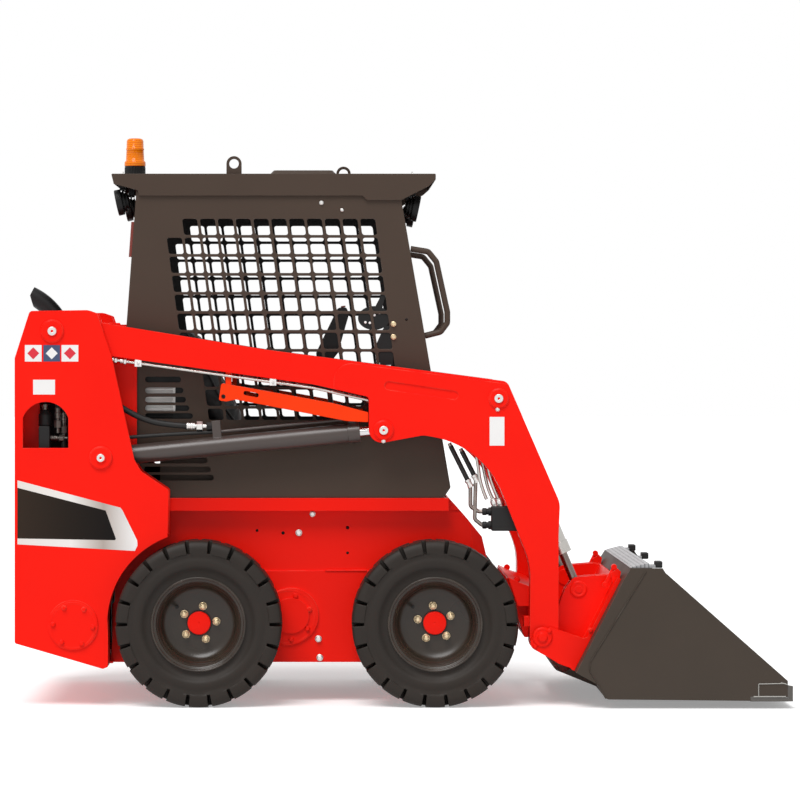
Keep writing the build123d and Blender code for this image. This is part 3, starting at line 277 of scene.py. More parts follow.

# %% Rubbed edges and painted highlight group
def make_rubbed_and_highlighted_edges():
    """Mask of the edges, broken up by noise: edges that hands and stones rub bare, and on the red
    paint the edges that carry a painted highlight.
    """
    group, given, out = new_group(
        "rubbed_and_highlighted_edges", {"Radius": 0.004, "Amount": 0.5, "Break Up": 14.0},
        {"Mask": "Float", "Round Normal": "Vector"})
    rounded = add(group, "Bevel", {"Radius": given["Radius"]}, samples=4).outputs["Normal"]
    flat = add(group, "NewGeometry").outputs["Normal"]
    same = add(group, "VectorMath", {0: rounded, 1: flat}, operation="DOT_PRODUCT")
    tilt = math_node(group, "SUBTRACT", 1.0, same.outputs["Value"])
    edge = math_node(group, "MULTIPLY", tilt, 6.0, clamp=True)
    flecks = math_node(group, "SUBTRACT", cloud(group, given["Break Up"], 5.0), 0.45)
    sharp = math_node(group, "MULTIPLY", flecks, 7.0, clamp=True)
    broken = math_node(group, "MULTIPLY", edge, sharp)
    fill(group, out["Mask"], math_node(group, "MULTIPLY", broken, given["Amount"], clamp=True))
    fill(group, out["Round Normal"], rounded)
    return group


RUBBED_AND_HIGHLIGHTED_EDGES = make_rubbed_and_highlighted_edges()
print(RUBBED_AND_HIGHLIGHTED_EDGES.name, "group made")

# %% Dust group
def make_dust():
    """Dust that lies on faces that look up, and thickens towards the ground."""
    group, given, out = new_group("dust", {"Amount": 0.2, "Scale": 3.0, "Reach": 0.6},
                                  {"Mask": "Float"})
    place = add(group, "SeparateXYZ", {0: place_in(group)})
    facing = add(group, "SeparateXYZ", {0: add(group, "NewGeometry").outputs["Normal"]})
    height = math_node(group, "DIVIDE", place.outputs["Z"], given["Reach"])
    low = math_node(group, "SUBTRACT", 1.0, height, clamp=True)
    up = math_node(group, "MULTIPLY", facing.outputs["Z"], 0.5, clamp=True)
    patchy = math_node(group, "MULTIPLY", cloud(group, given["Scale"], 6.0, Roughness=0.65),
                       math_node(group, "MAXIMUM", low, up))
    fill(group, out["Mask"], math_node(group, "MULTIPLY", patchy, given["Amount"], clamp=True))
    return group


DUST = make_dust()
print(DUST.name, "group made")

# %% Grain group
def make_grain():
    """Small height ripple and a slow drift, for sprayed paint, rubber and cast skins."""
    group, given, out = new_group("grain", {"Scale": 300.0, "Drift Scale": 4.0},
                                  {"Height": "Float", "Drift": "Float"})
    fill(group, out["Height"], cloud(group, given["Scale"], 3.0))
    fill(group, out["Drift"], cloud(group, given["Drift Scale"], 4.0))
    return group


GRAIN = make_grain()
print(GRAIN.name, "group made")


# %% [markdown]
# ## Finishes
# Every finish keeps its own Principled shader. The colour drifts a little between two shades,
# rubbed edges turn to a third colour, which on the red paint is a painted highlight instead,
# dust settles over it, and the roughness follows the same masks.

# %% Finish helper
def tint(tree, share, under, over):
    """One colour laid over another by a share; returns the mixed colour."""
    return add(tree, "Mix", {"Factor": share, "A": under, "B": over},
               data_type="RGBA").outputs["Result"]


def finish(name, shades, rubbed_and_highlighted_colour, roughness, rubbed_and_highlighted=0.0, dust=0.0, dust_colour=(0.3, 0.27, 0.24),
           metallic=0.0, specular=0.5, grain=(300, 0.1), drift=4, edge=0.003):
    """A painted, rubber or metal finish. roughness is (lowest, highest). The edge colour marks
    rubbed edges, except on the red paint, where it is a painted highlight.
    """
    material, tree, shader = new_material(
        name, {"Metallic": metallic, "Specular IOR Level": specular})
    texture = add(tree, "Group", {"Scale": grain[0], "Drift Scale": drift},
                  node_tree=GRAIN).outputs
    colour = tint(tree, texture["Drift"], *shades)
    rough = add(tree, "MapRange", {
        "Value": texture["Drift"], "From Min": 0.3, "From Max": 0.7, "To Min": roughness[0],
        "To Max": roughness[1]}).outputs["Result"]
    edges = add(tree, "Group", {"Radius": edge, "Amount": rubbed_and_highlighted}, node_tree=RUBBED_AND_HIGHLIGHTED_EDGES).outputs
    if rubbed_and_highlighted:
        colour = tint(tree, edges["Mask"], colour, rubbed_and_highlighted_colour)
    if dust:
        layer = add(tree, "Group", {"Amount": dust}, node_tree=DUST).outputs["Mask"]
        colour = tint(tree, layer, colour, dust_colour)
        rough = math_node(tree, "MAXIMUM", rough, layer)
    bump = add(tree, "Bump", {"Strength": grain[1], "Distance": 0.001,
                              "Height": texture["Height"], "Normal": edges["Round Normal"]})
    for label, value in (("Base Color", colour), ("Roughness", rough),
                         ("Normal", bump.outputs["Normal"])):
        fill(tree, shader.inputs[label], value)
    return material


print("finish helper ready")

# %% Paints
# The red paint's light pink edge colour is a painted highlight along its edges, where gloss would
# catch the light.
BODY_RED = finish("body_red", ((0.86, 0.006, 0.001), (0.93, 0.01, 0.002)), (1.0, 0.16, 0.1),
                  (0.3, 0.42), rubbed_and_highlighted=0.45, specular=0.13, grain=(220, 0.05))
PROP_ORANGE = finish("prop_orange", ((0.86, 0.036, 0.001), (0.94, 0.048, 0.002)),
                     (0.5, 0.06, 0.02), (0.4, 0.5), rubbed_and_highlighted=0.2, specular=0.13)
CAB_LOOK = dict(shades=((0.05, 0.032, 0.023), (0.062, 0.041, 0.029)), rubbed_and_highlighted_colour=(0.2, 0.17, 0.15),
                roughness=(0.42, 0.55), rubbed_and_highlighted=0.3, dust=0.02, specular=0.22, grain=(500, 0.12))
CAB_BROWN = finish("cab_brown", **CAB_LOOK)
BUCKET_BROWN = finish("bucket_brown", ((0.038, 0.028, 0.02), (0.052, 0.038, 0.028)),
                      (0.22, 0.2, 0.17), (0.45, 0.6), rubbed_and_highlighted=0.5, dust=0.03, specular=0.24,
                      grain=(260, 0.15))
BARREL_BROWN = finish("barrel_brown", ((0.046, 0.033, 0.029), (0.06, 0.044, 0.038)),
                      (0.2, 0.18, 0.17), (0.25, 0.38), rubbed_and_highlighted=0.15)
RIM_DARK = finish("rim_dark", ((0.022, 0.016, 0.011), (0.034, 0.024, 0.017)), (0.25, 0.2, 0.16),
                  (0.24, 0.36), rubbed_and_highlighted=0.4, dust=0.02, specular=0.38)
TAIL_RED = finish("tail_red", ((0.16, 0.012, 0.004), (0.24, 0.022, 0.006)), (0.3, 0.05, 0.03),
                  (0.15, 0.25), specular=0.6, grain=(300, 0.05))
print("paints mixed")

# %% Rubber, plastic and bare metal
# Where a finish shows no rubbed or highlighted edges, its edge colour isn't seen
UNSEEN = (0.5, 0.5, 0.5)
TYRE_RUBBER = finish("tyre_rubber", ((0.012, 0.009, 0.007), (0.022, 0.016, 0.012)),
                     (0.075, 0.06, 0.05), (0.45, 0.65), rubbed_and_highlighted=0.4, dust=0.12, specular=0.25,
                     dust_colour=(0.075, 0.058, 0.045), grain=(420, 0.35), drift=9, edge=0.005)
HOSE_RUBBER = finish("hose_rubber", ((0.01, 0.01, 0.01), (0.017, 0.016, 0.015)), UNSEEN,
                     (0.4, 0.55), specular=0.3, grain=(800, 0.3))
BLACK_PLASTIC = finish("black_plastic", ((0.006, 0.006, 0.006), (0.012, 0.012, 0.012)), UNSEEN,
                       (0.35, 0.5), specular=0.22, grain=(900, 0.25))
MACHINE_BLACK = finish("machine_black", ((0.008, 0.008, 0.009), (0.016, 0.015, 0.014)), UNSEEN,
                       (0.4, 0.6), dust=0.08, specular=0.25)
SEAT_VINYL = finish("seat_vinyl", ((0.009, 0.009, 0.009), (0.015, 0.014, 0.014)), UNSEEN,
                    (0.4, 0.55), specular=0.3, grain=(1200, 0.5))
EDGE_STEEL = finish("edge_steel", ((0.06, 0.055, 0.05), (0.1, 0.09, 0.08)), (0.3, 0.29, 0.28),
                    (0.4, 0.6), rubbed_and_highlighted=0.6)
EXHAUST_STEEL = finish("exhaust_steel", ((0.006, 0.006, 0.0065), (0.012, 0.011, 0.011)),
                       (0.07, 0.06, 0.055), (0.35, 0.55), rubbed_and_highlighted=0.15, specular=0.25)
WELD_STEEL = finish("weld_steel", ((0.3, 0.29, 0.27), (0.42, 0.41, 0.38)), UNSEEN,
                    (0.4, 0.6), specular=0.6, drift=30)
LABEL_WHITE = finish("label_white", ((0.8, 0.79, 0.78), (0.86, 0.85, 0.84)), UNSEEN,
                     (0.35, 0.5), drift=20, grain=(700, 0.05), edge=0.0005)


def metal(name, dark, light, roughness, drift, grain=(300, 0.1), metallic=1.0, dust=0.0):
    """Bare or plated metal, with no rubbed edges."""
    return finish(name, (dark, light), UNSEEN, roughness, drift=drift, grain=grain,
                  metallic=metallic, dust=dust)


ZINC_GOLD = metal("zinc_gold", (0.62, 0.46, 0.26), (0.75, 0.62, 0.42), (0.25, 0.4), 60)
ZINC_WHITE = metal("zinc_white", (0.62, 0.61, 0.59), (0.75, 0.74, 0.72), (0.25, 0.42), 40)
CHROME = metal("chrome", (0.6, 0.6, 0.6), (0.66, 0.66, 0.66), (0.08, 0.16), 20, (900, 0.02))
# A darker copy of the chrome for the tilt rods: painted shade, where the rods lie in shade.
CHROME_IN_PAINTED_SHADE = metal("chrome_in_painted_shade", (0.16, 0.13, 0.115), (0.26, 0.21, 0.19), (0.2, 0.32), 20, (900, 0.02))
LINE_STEEL = metal("line_steel", (0.14, 0.11, 0.1), (0.36, 0.31, 0.28), (0.2, 0.34), 30)
OILED_STEEL = metal("oiled_steel", (0.09, 0.08, 0.07), (0.22, 0.2, 0.18), (0.3, 0.5), 25,
                    metallic=0.9)
PIPE_ZINC = metal("pipe_zinc", (0.45, 0.43, 0.4), (0.6, 0.58, 0.55), (0.22, 0.38), 30)
COOLER_ALLOY = metal("cooler_alloy", (0.6, 0.59, 0.57), (0.78, 0.76, 0.74), (0.3, 0.5), 18,
                     metallic=0.6, dust=0.3)
print("rubber, plastic and metal ready")

# %% [markdown]
# ## Finishes of two colours, and painted shade
# Some solids carry two finishes. The bucket's step is tread plate with dark punched holes. Black
# is painted as shade inside the cab's side plates, and on the oil cooler round its bright fins.
# Each time a mask says where the second colour lies: rows of holes on a grid, or all that lies
# past a plane, with each axis counted from the machine's middle.

# %% Masks for a second colour and for painted shade
def make_holes():
    """Rows of round holes on a grid in the ground plane."""
    group, given, out = new_group("punched_holes", {"Pitch": 0.012, "Size": 0.3},
                                  {"Mask": "Float"})
    place = add(group, "SeparateXYZ", {0: place_in(group)}).outputs
    squares = []
    for label in "XY":
        cell = math_node(group, "FRACT", math_node(group, "DIVIDE", place[label], given["Pitch"]))
        off = math_node(group, "SUBTRACT", cell, 0.5)
        squares.append(math_node(group, "MULTIPLY", off, off))
    distance = math_node(group, "SQRT", math_node(group, "ADD", *squares))
    inside = math_node(group, "SUBTRACT", given["Size"], distance)
    fill(group, out["Mask"], math_node(group, "MULTIPLY", inside, 25.0, clamp=True))
    return group


def make_zone():
    """What lies past a plane, in metres from the machine's middle on each axis."""
    group, given, out = new_group("zone", {"Direction": UP, "Limit": 0.0}, {"Mask": "Float"})
    folded = add(group, "VectorMath", {0: place_in(group)}, operation="ABSOLUTE")
    along = add(group, "VectorMath", {0: folded.outputs[0], 1: given["Direction"]},
                operation="DOT_PRODUCT")
    past = math_node(group, "SUBTRACT", along.outputs["Value"], given["Limit"])
    fill(group, out["Mask"], math_node(group, "MULTIPLY", past, 900.0, clamp=True))
    return group


HOLES_GROUP, ZONE = make_holes(), make_zone()


def overlay(material, group, values, colour):
    """Lays a colour over a finish where the group's mask says."""
    tree = material.node_tree
    base = tree.nodes["Principled BSDF"].inputs["Base Color"]
    mask = add(tree, "Group", values, node_tree=group).outputs["Mask"]
    fill(tree, base, tint(tree, mask, base.links[0].from_socket, colour))
    return material


TREAD_STEEL = overlay(
    finish("tread_steel", ((0.34, 0.34, 0.35), (0.46, 0.46, 0.47)), (0.7, 0.7, 0.7),
           (0.35, 0.55), rubbed_and_highlighted=0.3, dust=0.3, specular=0.6, drift=14),
    HOLES_GROUP, {"Pitch": 0.014, "Size": 0.26}, (0.07, 0.07, 0.075))
# Painted shade: black laid inside the cab's side plates, and on the cooler above, below and forward
# of its bright fins.
CAB_PANEL_PAINTED_SHADE = finish("cab_panel_painted_shade", **CAB_LOOK)
PAINTED_SHADE_BLACK = (0.005, 0.005, 0.005)
for shaded_finish, plane, limit in (
        (CAB_PANEL_PAINTED_SHADE, (0, -1, 0), -0.3872), (COOLER_ALLOY, (-1, 0, 0), -0.806),
        (COOLER_ALLOY, UP, 1.128), (COOLER_ALLOY, (0, 0, -1), -1.03)):
    overlay(shaded_finish, ZONE, {"Direction": plane, "Limit": limit}, PAINTED_SHADE_BLACK)
print("step holes and painted shade coloured")

# %% [markdown]
# ## Painting the frame's own solids
# Plates, tubes and castings already have their real shape in the frame, so they only need a
# finish. A short table says which finish each family of nodes takes.

# %% Finish of each node
DRESS = (
    (BODY_RED, ("chassis_tub", "tower_", "rear_header", "rear_door", "engine_hood", "arm_right",
                "arm_left", "arm_cross_member", "coupler_frame", "coupler_levers")),
    (PROP_ORANGE, ("arm_braces",)),
    (CAB_BROWN, ("cab_", "grab_handles", "lifting_eyes", "seat_base")),
    (CAB_PANEL_PAINTED_SHADE, ("cab_side_",)),
    (BUCKET_BROWN, ("bucket",)),
    (TREAD_STEEL, ("bucket_step",)),
    (EDGE_STEEL, ("cutting_edge",)),
    (BARREL_BROWN, ("lift_barrel_",)),
    (PIPE_ZINC, ("tilt_barrel_", "arm_pipes")),
    (LINE_STEEL, ("aux_lines",)),
    (COOLER_ALLOY, ("oil_cooler",)),
    (CHROME, ("lift_rod_",)),
    (CHROME_IN_PAINTED_SHADE, ("tilt_rod_",)),
    (TYRE_RUBBER, ("tyre_",)),
    (RIM_DARK, ("rim_",)),
    (MACHINE_BLACK, ("engine_block", "work_lamps", "beacon")),
    (TAIL_RED, ("tail_lamps",)),
    (EXHAUST_STEEL, ("exhaust_stack",)),
    (BLACK_PLASTIC, ("control_levers", "instrument_pod")),
    (SEAT_VINYL, ("seat_cushion", "seat_back")),
)
for coat, families in DRESS:
    for name in (n for n in nodes if n.startswith(families)):
        slots = nodes[name].data.materials
        slots.clear()
        slots.append(coat)
print("nodes without a finish:", [n for n in nodes if not nodes[n].data.materials])


# %% [markdown]
# ## Mesh helpers
# A few ways of making a piece cover the whole machine. A lathe turns a profile about an axis, a
# slab is an outline with thickness, and a pipe is a curve with a round section.

# %% Finishing a mesh
def piece(name, bm, material, body, smooth=35, bevel=0.0):
    """Turns a bmesh into an object that rides on a body; bevel is in millimetres."""
    mesh = bpy.data.meshes.new(name)
    bmesh.ops.recalc_face_normals(bm, faces=bm.faces)
    bm.to_mesh(mesh)
    bm.free()
    mesh.materials.append(material)
    made = put(name, mesh)
    if bevel:
        rounding = made.modifiers.new("rounding", "BEVEL")
        rounding.width = bevel * MM
        rounding.segments = 2
        rounding.limit_method = "ANGLE"
        rounding.angle_limit = math.radians(30)
    if smooth:
        mesh.polygons.foreach_set("use_smooth", [True] * len(mesh.polygons))
        mesh.set_sharp_from_angle(angle=math.radians(smooth))
    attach(made, body)
    return made


def around(count, first=0.0):
    """Angles evenly spaced round a full turn, in radians."""
    return [first + 2 * math.pi * i / count for i in range(count)]


def bridge(bm, low, high):
    """Joins two rings of as many points with faces; doubled points make triangles."""
    for i in range(len(low)):
        j = (i + 1) % len(low)
        corners = list(dict.fromkeys((low[i], low[j], high[j], high[i])))
        if len(corners) > 2:
            bm.faces.new(corners)


def lathe(bm, rows, centre, axis, steps=48, closed=False):
    """Turns rows of (distance along the axis, radius) about an axis through centre, in mm."""
    axis = Vector(axis).normalized()
    first = axis.orthogonal().normalized()
    second = axis.cross(first)
    rings = []
    for along, radius in rows:
        middle = Vector(centre) + axis * along
        if radius:
            rings.append([bm.verts.new(
                (middle + (first * math.cos(turn) + second * math.sin(turn)) * radius) * MM)
                for turn in around(steps)])
        else:
            rings.append([bm.verts.new(middle * MM)] * steps)
    for low, high in zip(rings, rings[1:] + (rings[:1] if closed else [])):
        bridge(bm, low, high)
    for ring in () if closed else (rings[0], rings[-1]):
        if ring[0] is not ring[1]:
            bm.faces.new(ring)
    return bm


def spun(name, rows, centre, axis, material, body, steps=48, smooth=35, closed=False):
    """A piece that is one lathed profile."""
    bm = lathe(bmesh.new(), rows, centre, axis, steps, closed)
    return piece(name, bm, material, body, smooth)


def slab(bm, outline, inner, outer):
    """Outline of (x, z) points in millimetres, given thickness between two distances across."""
    layers = [[bm.verts.new(mm(x, y, z)) for x, z in outline] for y in (inner, outer)]
    for layer in layers:
        bm.faces.new(layer)
    bridge(bm, *layers)
    return bm


def block(bm, low, high):
    """An upright block between two corners, in millimetres."""
    low, high = Vector(low), Vector(high)
    for vert in bmesh.ops.create_cube(bm, size=1.0)["verts"]:
        vert.co = (vert.co * (high - low) + (low + high) / 2) * MM
    return bm


def pipe(name, points, radius, material, body=None, order=3):
    """A round hose or pipe through control points in millimetres; body may be given later."""
    curve = bpy.data.curves.new(name, "CURVE")
    curve.dimensions = "3D"
    curve.bevel_depth = radius * MM
    curve.bevel_resolution = 4
    curve.resolution_u = 10
    curve.use_fill_caps = True
    spline = curve.splines.new("NURBS")
    spline.points.add(len(points) - 1)
    for control, place in zip(spline.points, points):
        control.co = (*mm(*place), 1.0)
    spline.order_u = order
    spline.use_endpoint_u = True
    curve.materials.append(material)
    made = put(name, curve)
    if body:
        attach(made, body)
    return made


print("mesh helpers ready")

# %% Bolts and nuts
def hexagon(bm, across, bottom, top, place, facing, twist=0.0, chamfer=1.5):
    """A hexagon head or nut, sizes in millimetres, with its corners turned down."""
    spin = Vector(UP).rotation_difference(Vector(facing)).to_matrix().to_4x4()
    matrix = Matrix.Translation(Vector(place) * MM) @ spin
    radius = across / 2 / math.cos(math.pi / 6)
    rings = [[bm.verts.new(matrix @ mm(math.cos(turn) * reach, math.sin(turn) * reach, height))
              for turn in around(6, twist)]
             for height, reach in ((bottom, radius), (top - chamfer, radius),
                                   (top, radius - chamfer))]
    for low, high in zip(rings, rings[1:]):
        bridge(bm, low, high)
    bm.faces.new(rings[0])
    bm.faces.new(rings[-1])
    return bm


def bolt(bm, place, facing, across, seed):
    """A flanged hexagon bolt that stands on a face: a washer and a head, turned by chance."""
    spread = across * 0.72
    lathe(bm, ((0, spread), (across * 0.1, spread), (across * 0.16, spread - 1)), place, facing, 20)
    hexagon(bm, across, across * 0.15, across * 0.62, place, facing,
            random.Random(seed).uniform(0, 1), across * 0.08)


def bolt_pairs(name, spots, face, across, material, body):
    """Bolts at (x, z, seed) on both sides of the machine, as one piece."""
    bm = bmesh.new()
    for side in SIDES.values():
        for x, z, seed in spots:
            bolt(bm, (x, side * face, z), (0, side, 0), across, seed)
    piece(name, bm, material, body, smooth=30)


print("fasteners ready")


# %% [markdown]
# ## Tyres
# A loader's tyre is a stiff carcass with deep blocks on each shoulder, half a pitch apart from
# side to side, and a plain band along the middle. Its section is swept round the axle column by
# column: where a groove runs, the rows of the tread drop to the groove's floor. Every second
# block ends in a clear step on the sidewall, and the others run out smoothly.

# %% Tyre section and pitch
PITCHES = 22
GROOVE_FLOOR = TYRE_R - 43
GROOVE_REACH = TYRE_WIDTH / 2 - 3.2
# distance from the middle plane, radius; from the bead to the crown
CARCASS = ((78, 153), (84, 153), (87, 160), (86, 168), (85, 174), (86, 182), (89.5, 190),
           (94.5, 196), (99, 201), (101.2, 207), (101.8, 216), (101, 227), (99.6, 231),
           (99.6, 238))
STEP_ROWS = (247, 249.5)        # radii of the two rows that make the step on the sidewall
SMOOTH_END = 102.6
BLOCK = ((100.4, 247), (105, 249.5), (105, 262), (103.8, 272), (100.5, 281), (96, 287.5),
         (89, 291.2), (80, 292), (50, 292), (21, 292), (17, 292), (8, 292))
PLAIN_BAND = 18                 # half width of the band that no groove reaches
GROOVE_HALF = 0.08              # half width of a groove, in shares of a pitch
# turn of each column within one pitch, in shares of a pitch
COLUMNS = (-0.09, -0.07, 0.07, 0.09, 0.25, 0.41, 0.43, 0.57, 0.59, 0.75)


def tyre_row(distance, radius, sunk, smooth_end):
    """Place of one point of the section, sunk into a groove or not."""
    if sunk and distance > PLAIN_BAND and radius > GROOVE_FLOOR:
        return min(distance, GROOVE_REACH), GROOVE_FLOOR
    if smooth_end and radius in STEP_ROWS:
        return SMOOTH_END, radius
    return distance, radius


def make_tyre(name, axle_x, side):
    """One tyre, replacing the frame's plainer one."""
    bm = bmesh.new()
    rings = []
    for pitch in range(PITCHES):
        for share in COLUMNS:
            turn = 2 * math.pi * (pitch + share) / PITCHES
            ring = []
            for face in (-1, 1):
                offset = share if face == side else share - 0.5
                in_groove = min(abs(offset), abs(offset + 1)) < GROOVE_HALF
                block_index = pitch if face == side else pitch + (share > 0.5)
                for distance, radius in (CARCASS + BLOCK)[::-face]:
                    d, r = tyre_row(distance, radius, in_groove, block_index % 2)
                    ring.append(bm.verts.new(mm(
                        axle_x + math.cos(turn) * r, side * WHEEL_Y + face * d,
                        TYRE_R + math.sin(turn) * r)))
            rings.append(ring)
    for ring, following in zip(rings, rings[1:] + rings[:1]):
        bridge(bm, ring, following)
    tyre = piece(f"lugged_{name}", bm, TYRE_RUBBER, f"wheel_{name[5:]}", smooth=28)
    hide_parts(name)
    return tyre


for place, axle_x in AXLES.items():
    for word, side in SIDES.items():
        tyre = make_tyre(f"tyre_{place}_{word}", axle_x, side)
print("tyre faces", len(tyre.data.polygons), "each")


# %% [markdown]
# ## Rims and hubs
# The rim is pressed and welded steel: a rolled flange, a stepped barrel and a flat disc deep
# inside. Five studs with plated nuts hold it, and a red cap closes the hub.

# %% Rims
# distance outward from the middle plane, radius
RIM_ROWS = (
    (-97, 167), (-92, 165), (-88, 156), (-84, 152), (-60, 151), (-46, 138), (46, 138), (60, 151),
    (84, 152), (88, 156), (89, 163), (92, 166.4), (95, 166.8), (97, 165), (97.4, 162), (95, 159),
    (90, 158), (88.5, 155), (86, 149.5), (80, 148), (76, 147.4), (73, 144), (69, 141.5),
    (60, 140.5), (55, 138), (51, 133.5), (47, 132.3), (36, 131), (27, 126), (20, 116), (16, 106),
    (14, 98), (14.2, 44), (4, 44), (4, 104), (26, 133), (-50, 133), (-62, 146), (-97, 146),
)
CAP_ROWS = ((12, 41), (27, 41), (31, 39.5), (32, 37), (32, 3.5), (30.5, 2.4), (30.5, 0))
NUT_CIRCLE = 61
VALVE_CIRCLE, VALVE_TURN = 96, 2.5
# turn of the first wheel nut, in degrees: the wheels stand as they last rolled
NUT_START = {"front": 24, "rear": 5}


def make_rim(place, word):
    """Rim, hub, cap, wheel nuts and valve of one wheel."""
    name, body, side = f"rim_{place}_{word}", f"wheel_{place}_{word}", SIDES[word]
    centre, outward = (AXLES[place], side * WHEEL_Y, TYRE_R), (0, side, 0)

    def on_disc(circle, turn, out):
        """A point on the wheel's disc, at a circle and a turn."""
        return (centre[0] - side * circle * math.cos(turn), side * (WHEEL_Y + out),
                TYRE_R + circle * math.sin(turn))

    rim = spun(f"pressed_{name}", RIM_ROWS, centre, outward, RIM_DARK, body, 96, closed=True)
    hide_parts(name)
    inner_end = min(abs(corner.y) for corner in span(name))
    spun(f"hub_{name}", ((inner_end - WHEEL_Y, 30), (-20, 30), (-20, 84), (3.8, 84), (3.8, 43.8),
                         (12, 43.8), (12, 0)), centre, outward, RIM_DARK, body, 64)
    spun(f"hub_cap_{name}", CAP_ROWS, centre, outward, BODY_RED, body, 64)
    bm = bmesh.new()
    for turn in around(5, math.radians(NUT_START[place])):
        seat = on_disc(NUT_CIRCLE, turn, 14)
        lathe(bm, ((0, 14.5), (2.5, 14.5), (3.5, 13.5)), seat, outward, 24)
        hexagon(bm, 21, 3, 19, seat, outward, turn, 2.5)
        lathe(bm, ((18, 6.5), (27, 6.5), (28, 5.5)), seat, outward, 16)
    piece(f"wheel_nuts_{name}", bm, ZINC_GOLD, body, smooth=30)
    spun(f"valve_{name}", ((0, 4), (16, 4), (16, 5.5), (28, 5.5), (29, 4.5)),
         on_disc(VALVE_CIRCLE, VALVE_TURN, 15), outward, BLACK_PLASTIC, body, 12)


for place in AXLES:
    for word in SIDES:
        make_rim(place, word)
print("four rims, caps and nut rings")


# %% [markdown]
# ## Pins and bosses
# Each pivot shows a thick welded ring with a turned edge and the bright end of its greased pin.
# Laid over the frame's plain discs, a lathed ring catches the light along its chamfer.

# %% Pin ends
# side-view x, z, face across, ring radius, pin radius, body
PIVOT_RINGS = (
    (-1231, 1320, TOWER_FACE, 40, 15.5, "chassis"),
    (-1060, 874, TOWER_FACE, 40, 14, "chassis"),
    (-65, 971, ARM_FACE, 35, 15.5, "arms"),
    (340, 1083, ARM_FACE, 35, 15.5, "arms"),
)
for number, (x, z, face, ring_r, pin_r, body) in enumerate(PIVOT_RINGS):
    for word, side in SIDES.items():
        seat, outward = (x, side * face, z), (0, side, 0)
        spun(f"boss_{number}_{word}", (
            (0, ring_r + 1.5), (5, ring_r + 1), (8.5, ring_r - 4), (8.5, pin_r + 3),
            (7.2, pin_r + 1.5), (7.2, 0)), seat, outward, BODY_RED, body, 64)
        spun(f"pin_{number}_{word}", (
            (7.2, pin_r), (13, pin_r), (14, pin_r - 1.2), (14, 5), (11.5, 3.5), (11.5, 0)),
            seat, outward, ZINC_WHITE, body, 40)
bolt_pairs("pin_lock_bolts", ((-65.6, 933, 0), (336, 1045, 1)), ARM_FACE, 11, ZINC_WHITE, "arms")
print(2 * len(PIVOT_RINGS), "pivots dressed")


# %% [markdown]
# ## Bolted covers and stray bolts
# Round covers close the chain case and the tower. Each has a turned rim and a ring of painted
# bolts, and a few plated bolts and plain holes are scattered over the side.

# %% Covers
# x, z, face across, radius, bolt circle, bolts, first bolt's turn in degrees
COVERS = ((-1158, 284, COVER_FACE, 86, 70, 6, -4), (-402, 302, 353, 101, 80, 7, 20))
for x, z, face, radius, circle, count, first in COVERS:
    for word, side in SIDES.items():
        outward = (0, side, 0)
        bm = bmesh.new()
        for i, turn in enumerate(around(count, math.radians(first))):
            place = (x + circle * math.cos(turn), side * face, z + circle * math.sin(turn))
            bolt(bm, place, outward, 14, seed=i)
        piece(f"cover_bolts_{-x}_{word}", bm, BODY_RED, "chassis", smooth=30)
        spun(f"cover_rim_{-x}_{word}", (
            (-6, radius + 1), (-3, radius + 1), (0.6, radius - 3), (0.6, radius - 9),
            (0.2, radius - 9.5), (0.2, 0)), (x, side * face, z), outward, BODY_RED, "chassis", 96)
print("covers bolted")

# %% Stray bolts and holes
# x, z, face across, wrench size, finish
STRAY_BOLTS = (
    (-316, 669, TUB_FACE, 15, ZINC_WHITE), (-365, 602, TUB_FACE, 17, ZINC_WHITE),
    (-295, 224, RAIL_FACE, 17, ZINC_WHITE), (-290, 157, RAIL_FACE, 17, ZINC_WHITE),
    (-28, 1346, CAB_FACE, 14, ZINC_GOLD), (-28, 1300, CAB_FACE, 14, ZINC_GOLD),
    (-284, 1777, CAB_FACE, 11, ZINC_WHITE), (-211, 1751, CAB_FACE, 9, ZINC_WHITE),
)
for number, (x, z, face, across, plating) in enumerate(STRAY_BOLTS):
    bolt_pairs(f"bolts_{number}", ((x, z, number),), face, across, plating, "chassis")

# plain tapped holes: x, z, face across, radius
HOLES = ((-421, 601, TUB_FACE, 6), (-191, 620, TUB_FACE, 6), (-191, 530, TUB_FACE, 5),
         (-514, 610, TUB_FACE, 5), (18, 1362, CAB_FACE, 5))
bm = bmesh.new()
for x, z, face, radius in HOLES:
    for side in SIDES.values():
        lathe(bm, ((0.15, radius), (0.35, radius - 0.6), (0.35, 0)), (x, side * face, z),
              (0, side, 0), 20)
piece("tapped_holes", bm, MACHINE_BLACK, "chassis")
print(len(STRAY_BOLTS), "pairs of bolts,", len(HOLES), "pairs of holes")


# %% [markdown]
# ## Beacon
# The flashing beacon has a ribbed black foot and an amber lens in two tiers. The lens is a thick
# coloured plastic, so it transmits some light, and a faint glow painted evenly over the lens
# stands in for the light that passes through.

# %% Beacon
BEACON_X = sum(c.x for c in span("beacon")) / 2
ROOF_Z = span("beacon")[0].z
RIB_SIZE, RIB_RADIUS, RIB_MIDDLE = Vector((3.4, 3.2, 34)), 36.5, 24
# The emission is a painted glow, even over the whole lens, for the light that comes through it.
AMBER, tree, shader = new_material("beacon_amber", {
    "Roughness": 0.16, "Transmission Weight": 0.1, "Specular IOR Level": 0.2,
    "Emission Strength": 0.1})
bands = add(tree, "TexWave", {"Vector": place_in(tree), "Scale": 45.0}, wave_type="BANDS",
            bands_direction="Z")
amber = tint(tree, bands.outputs["Fac"], (0.72, 0.12, 0.0), (0.95, 0.27, 0.0))
for label in ("Base Color", "Emission Color"):
    fill(tree, shader.inputs[label], amber)

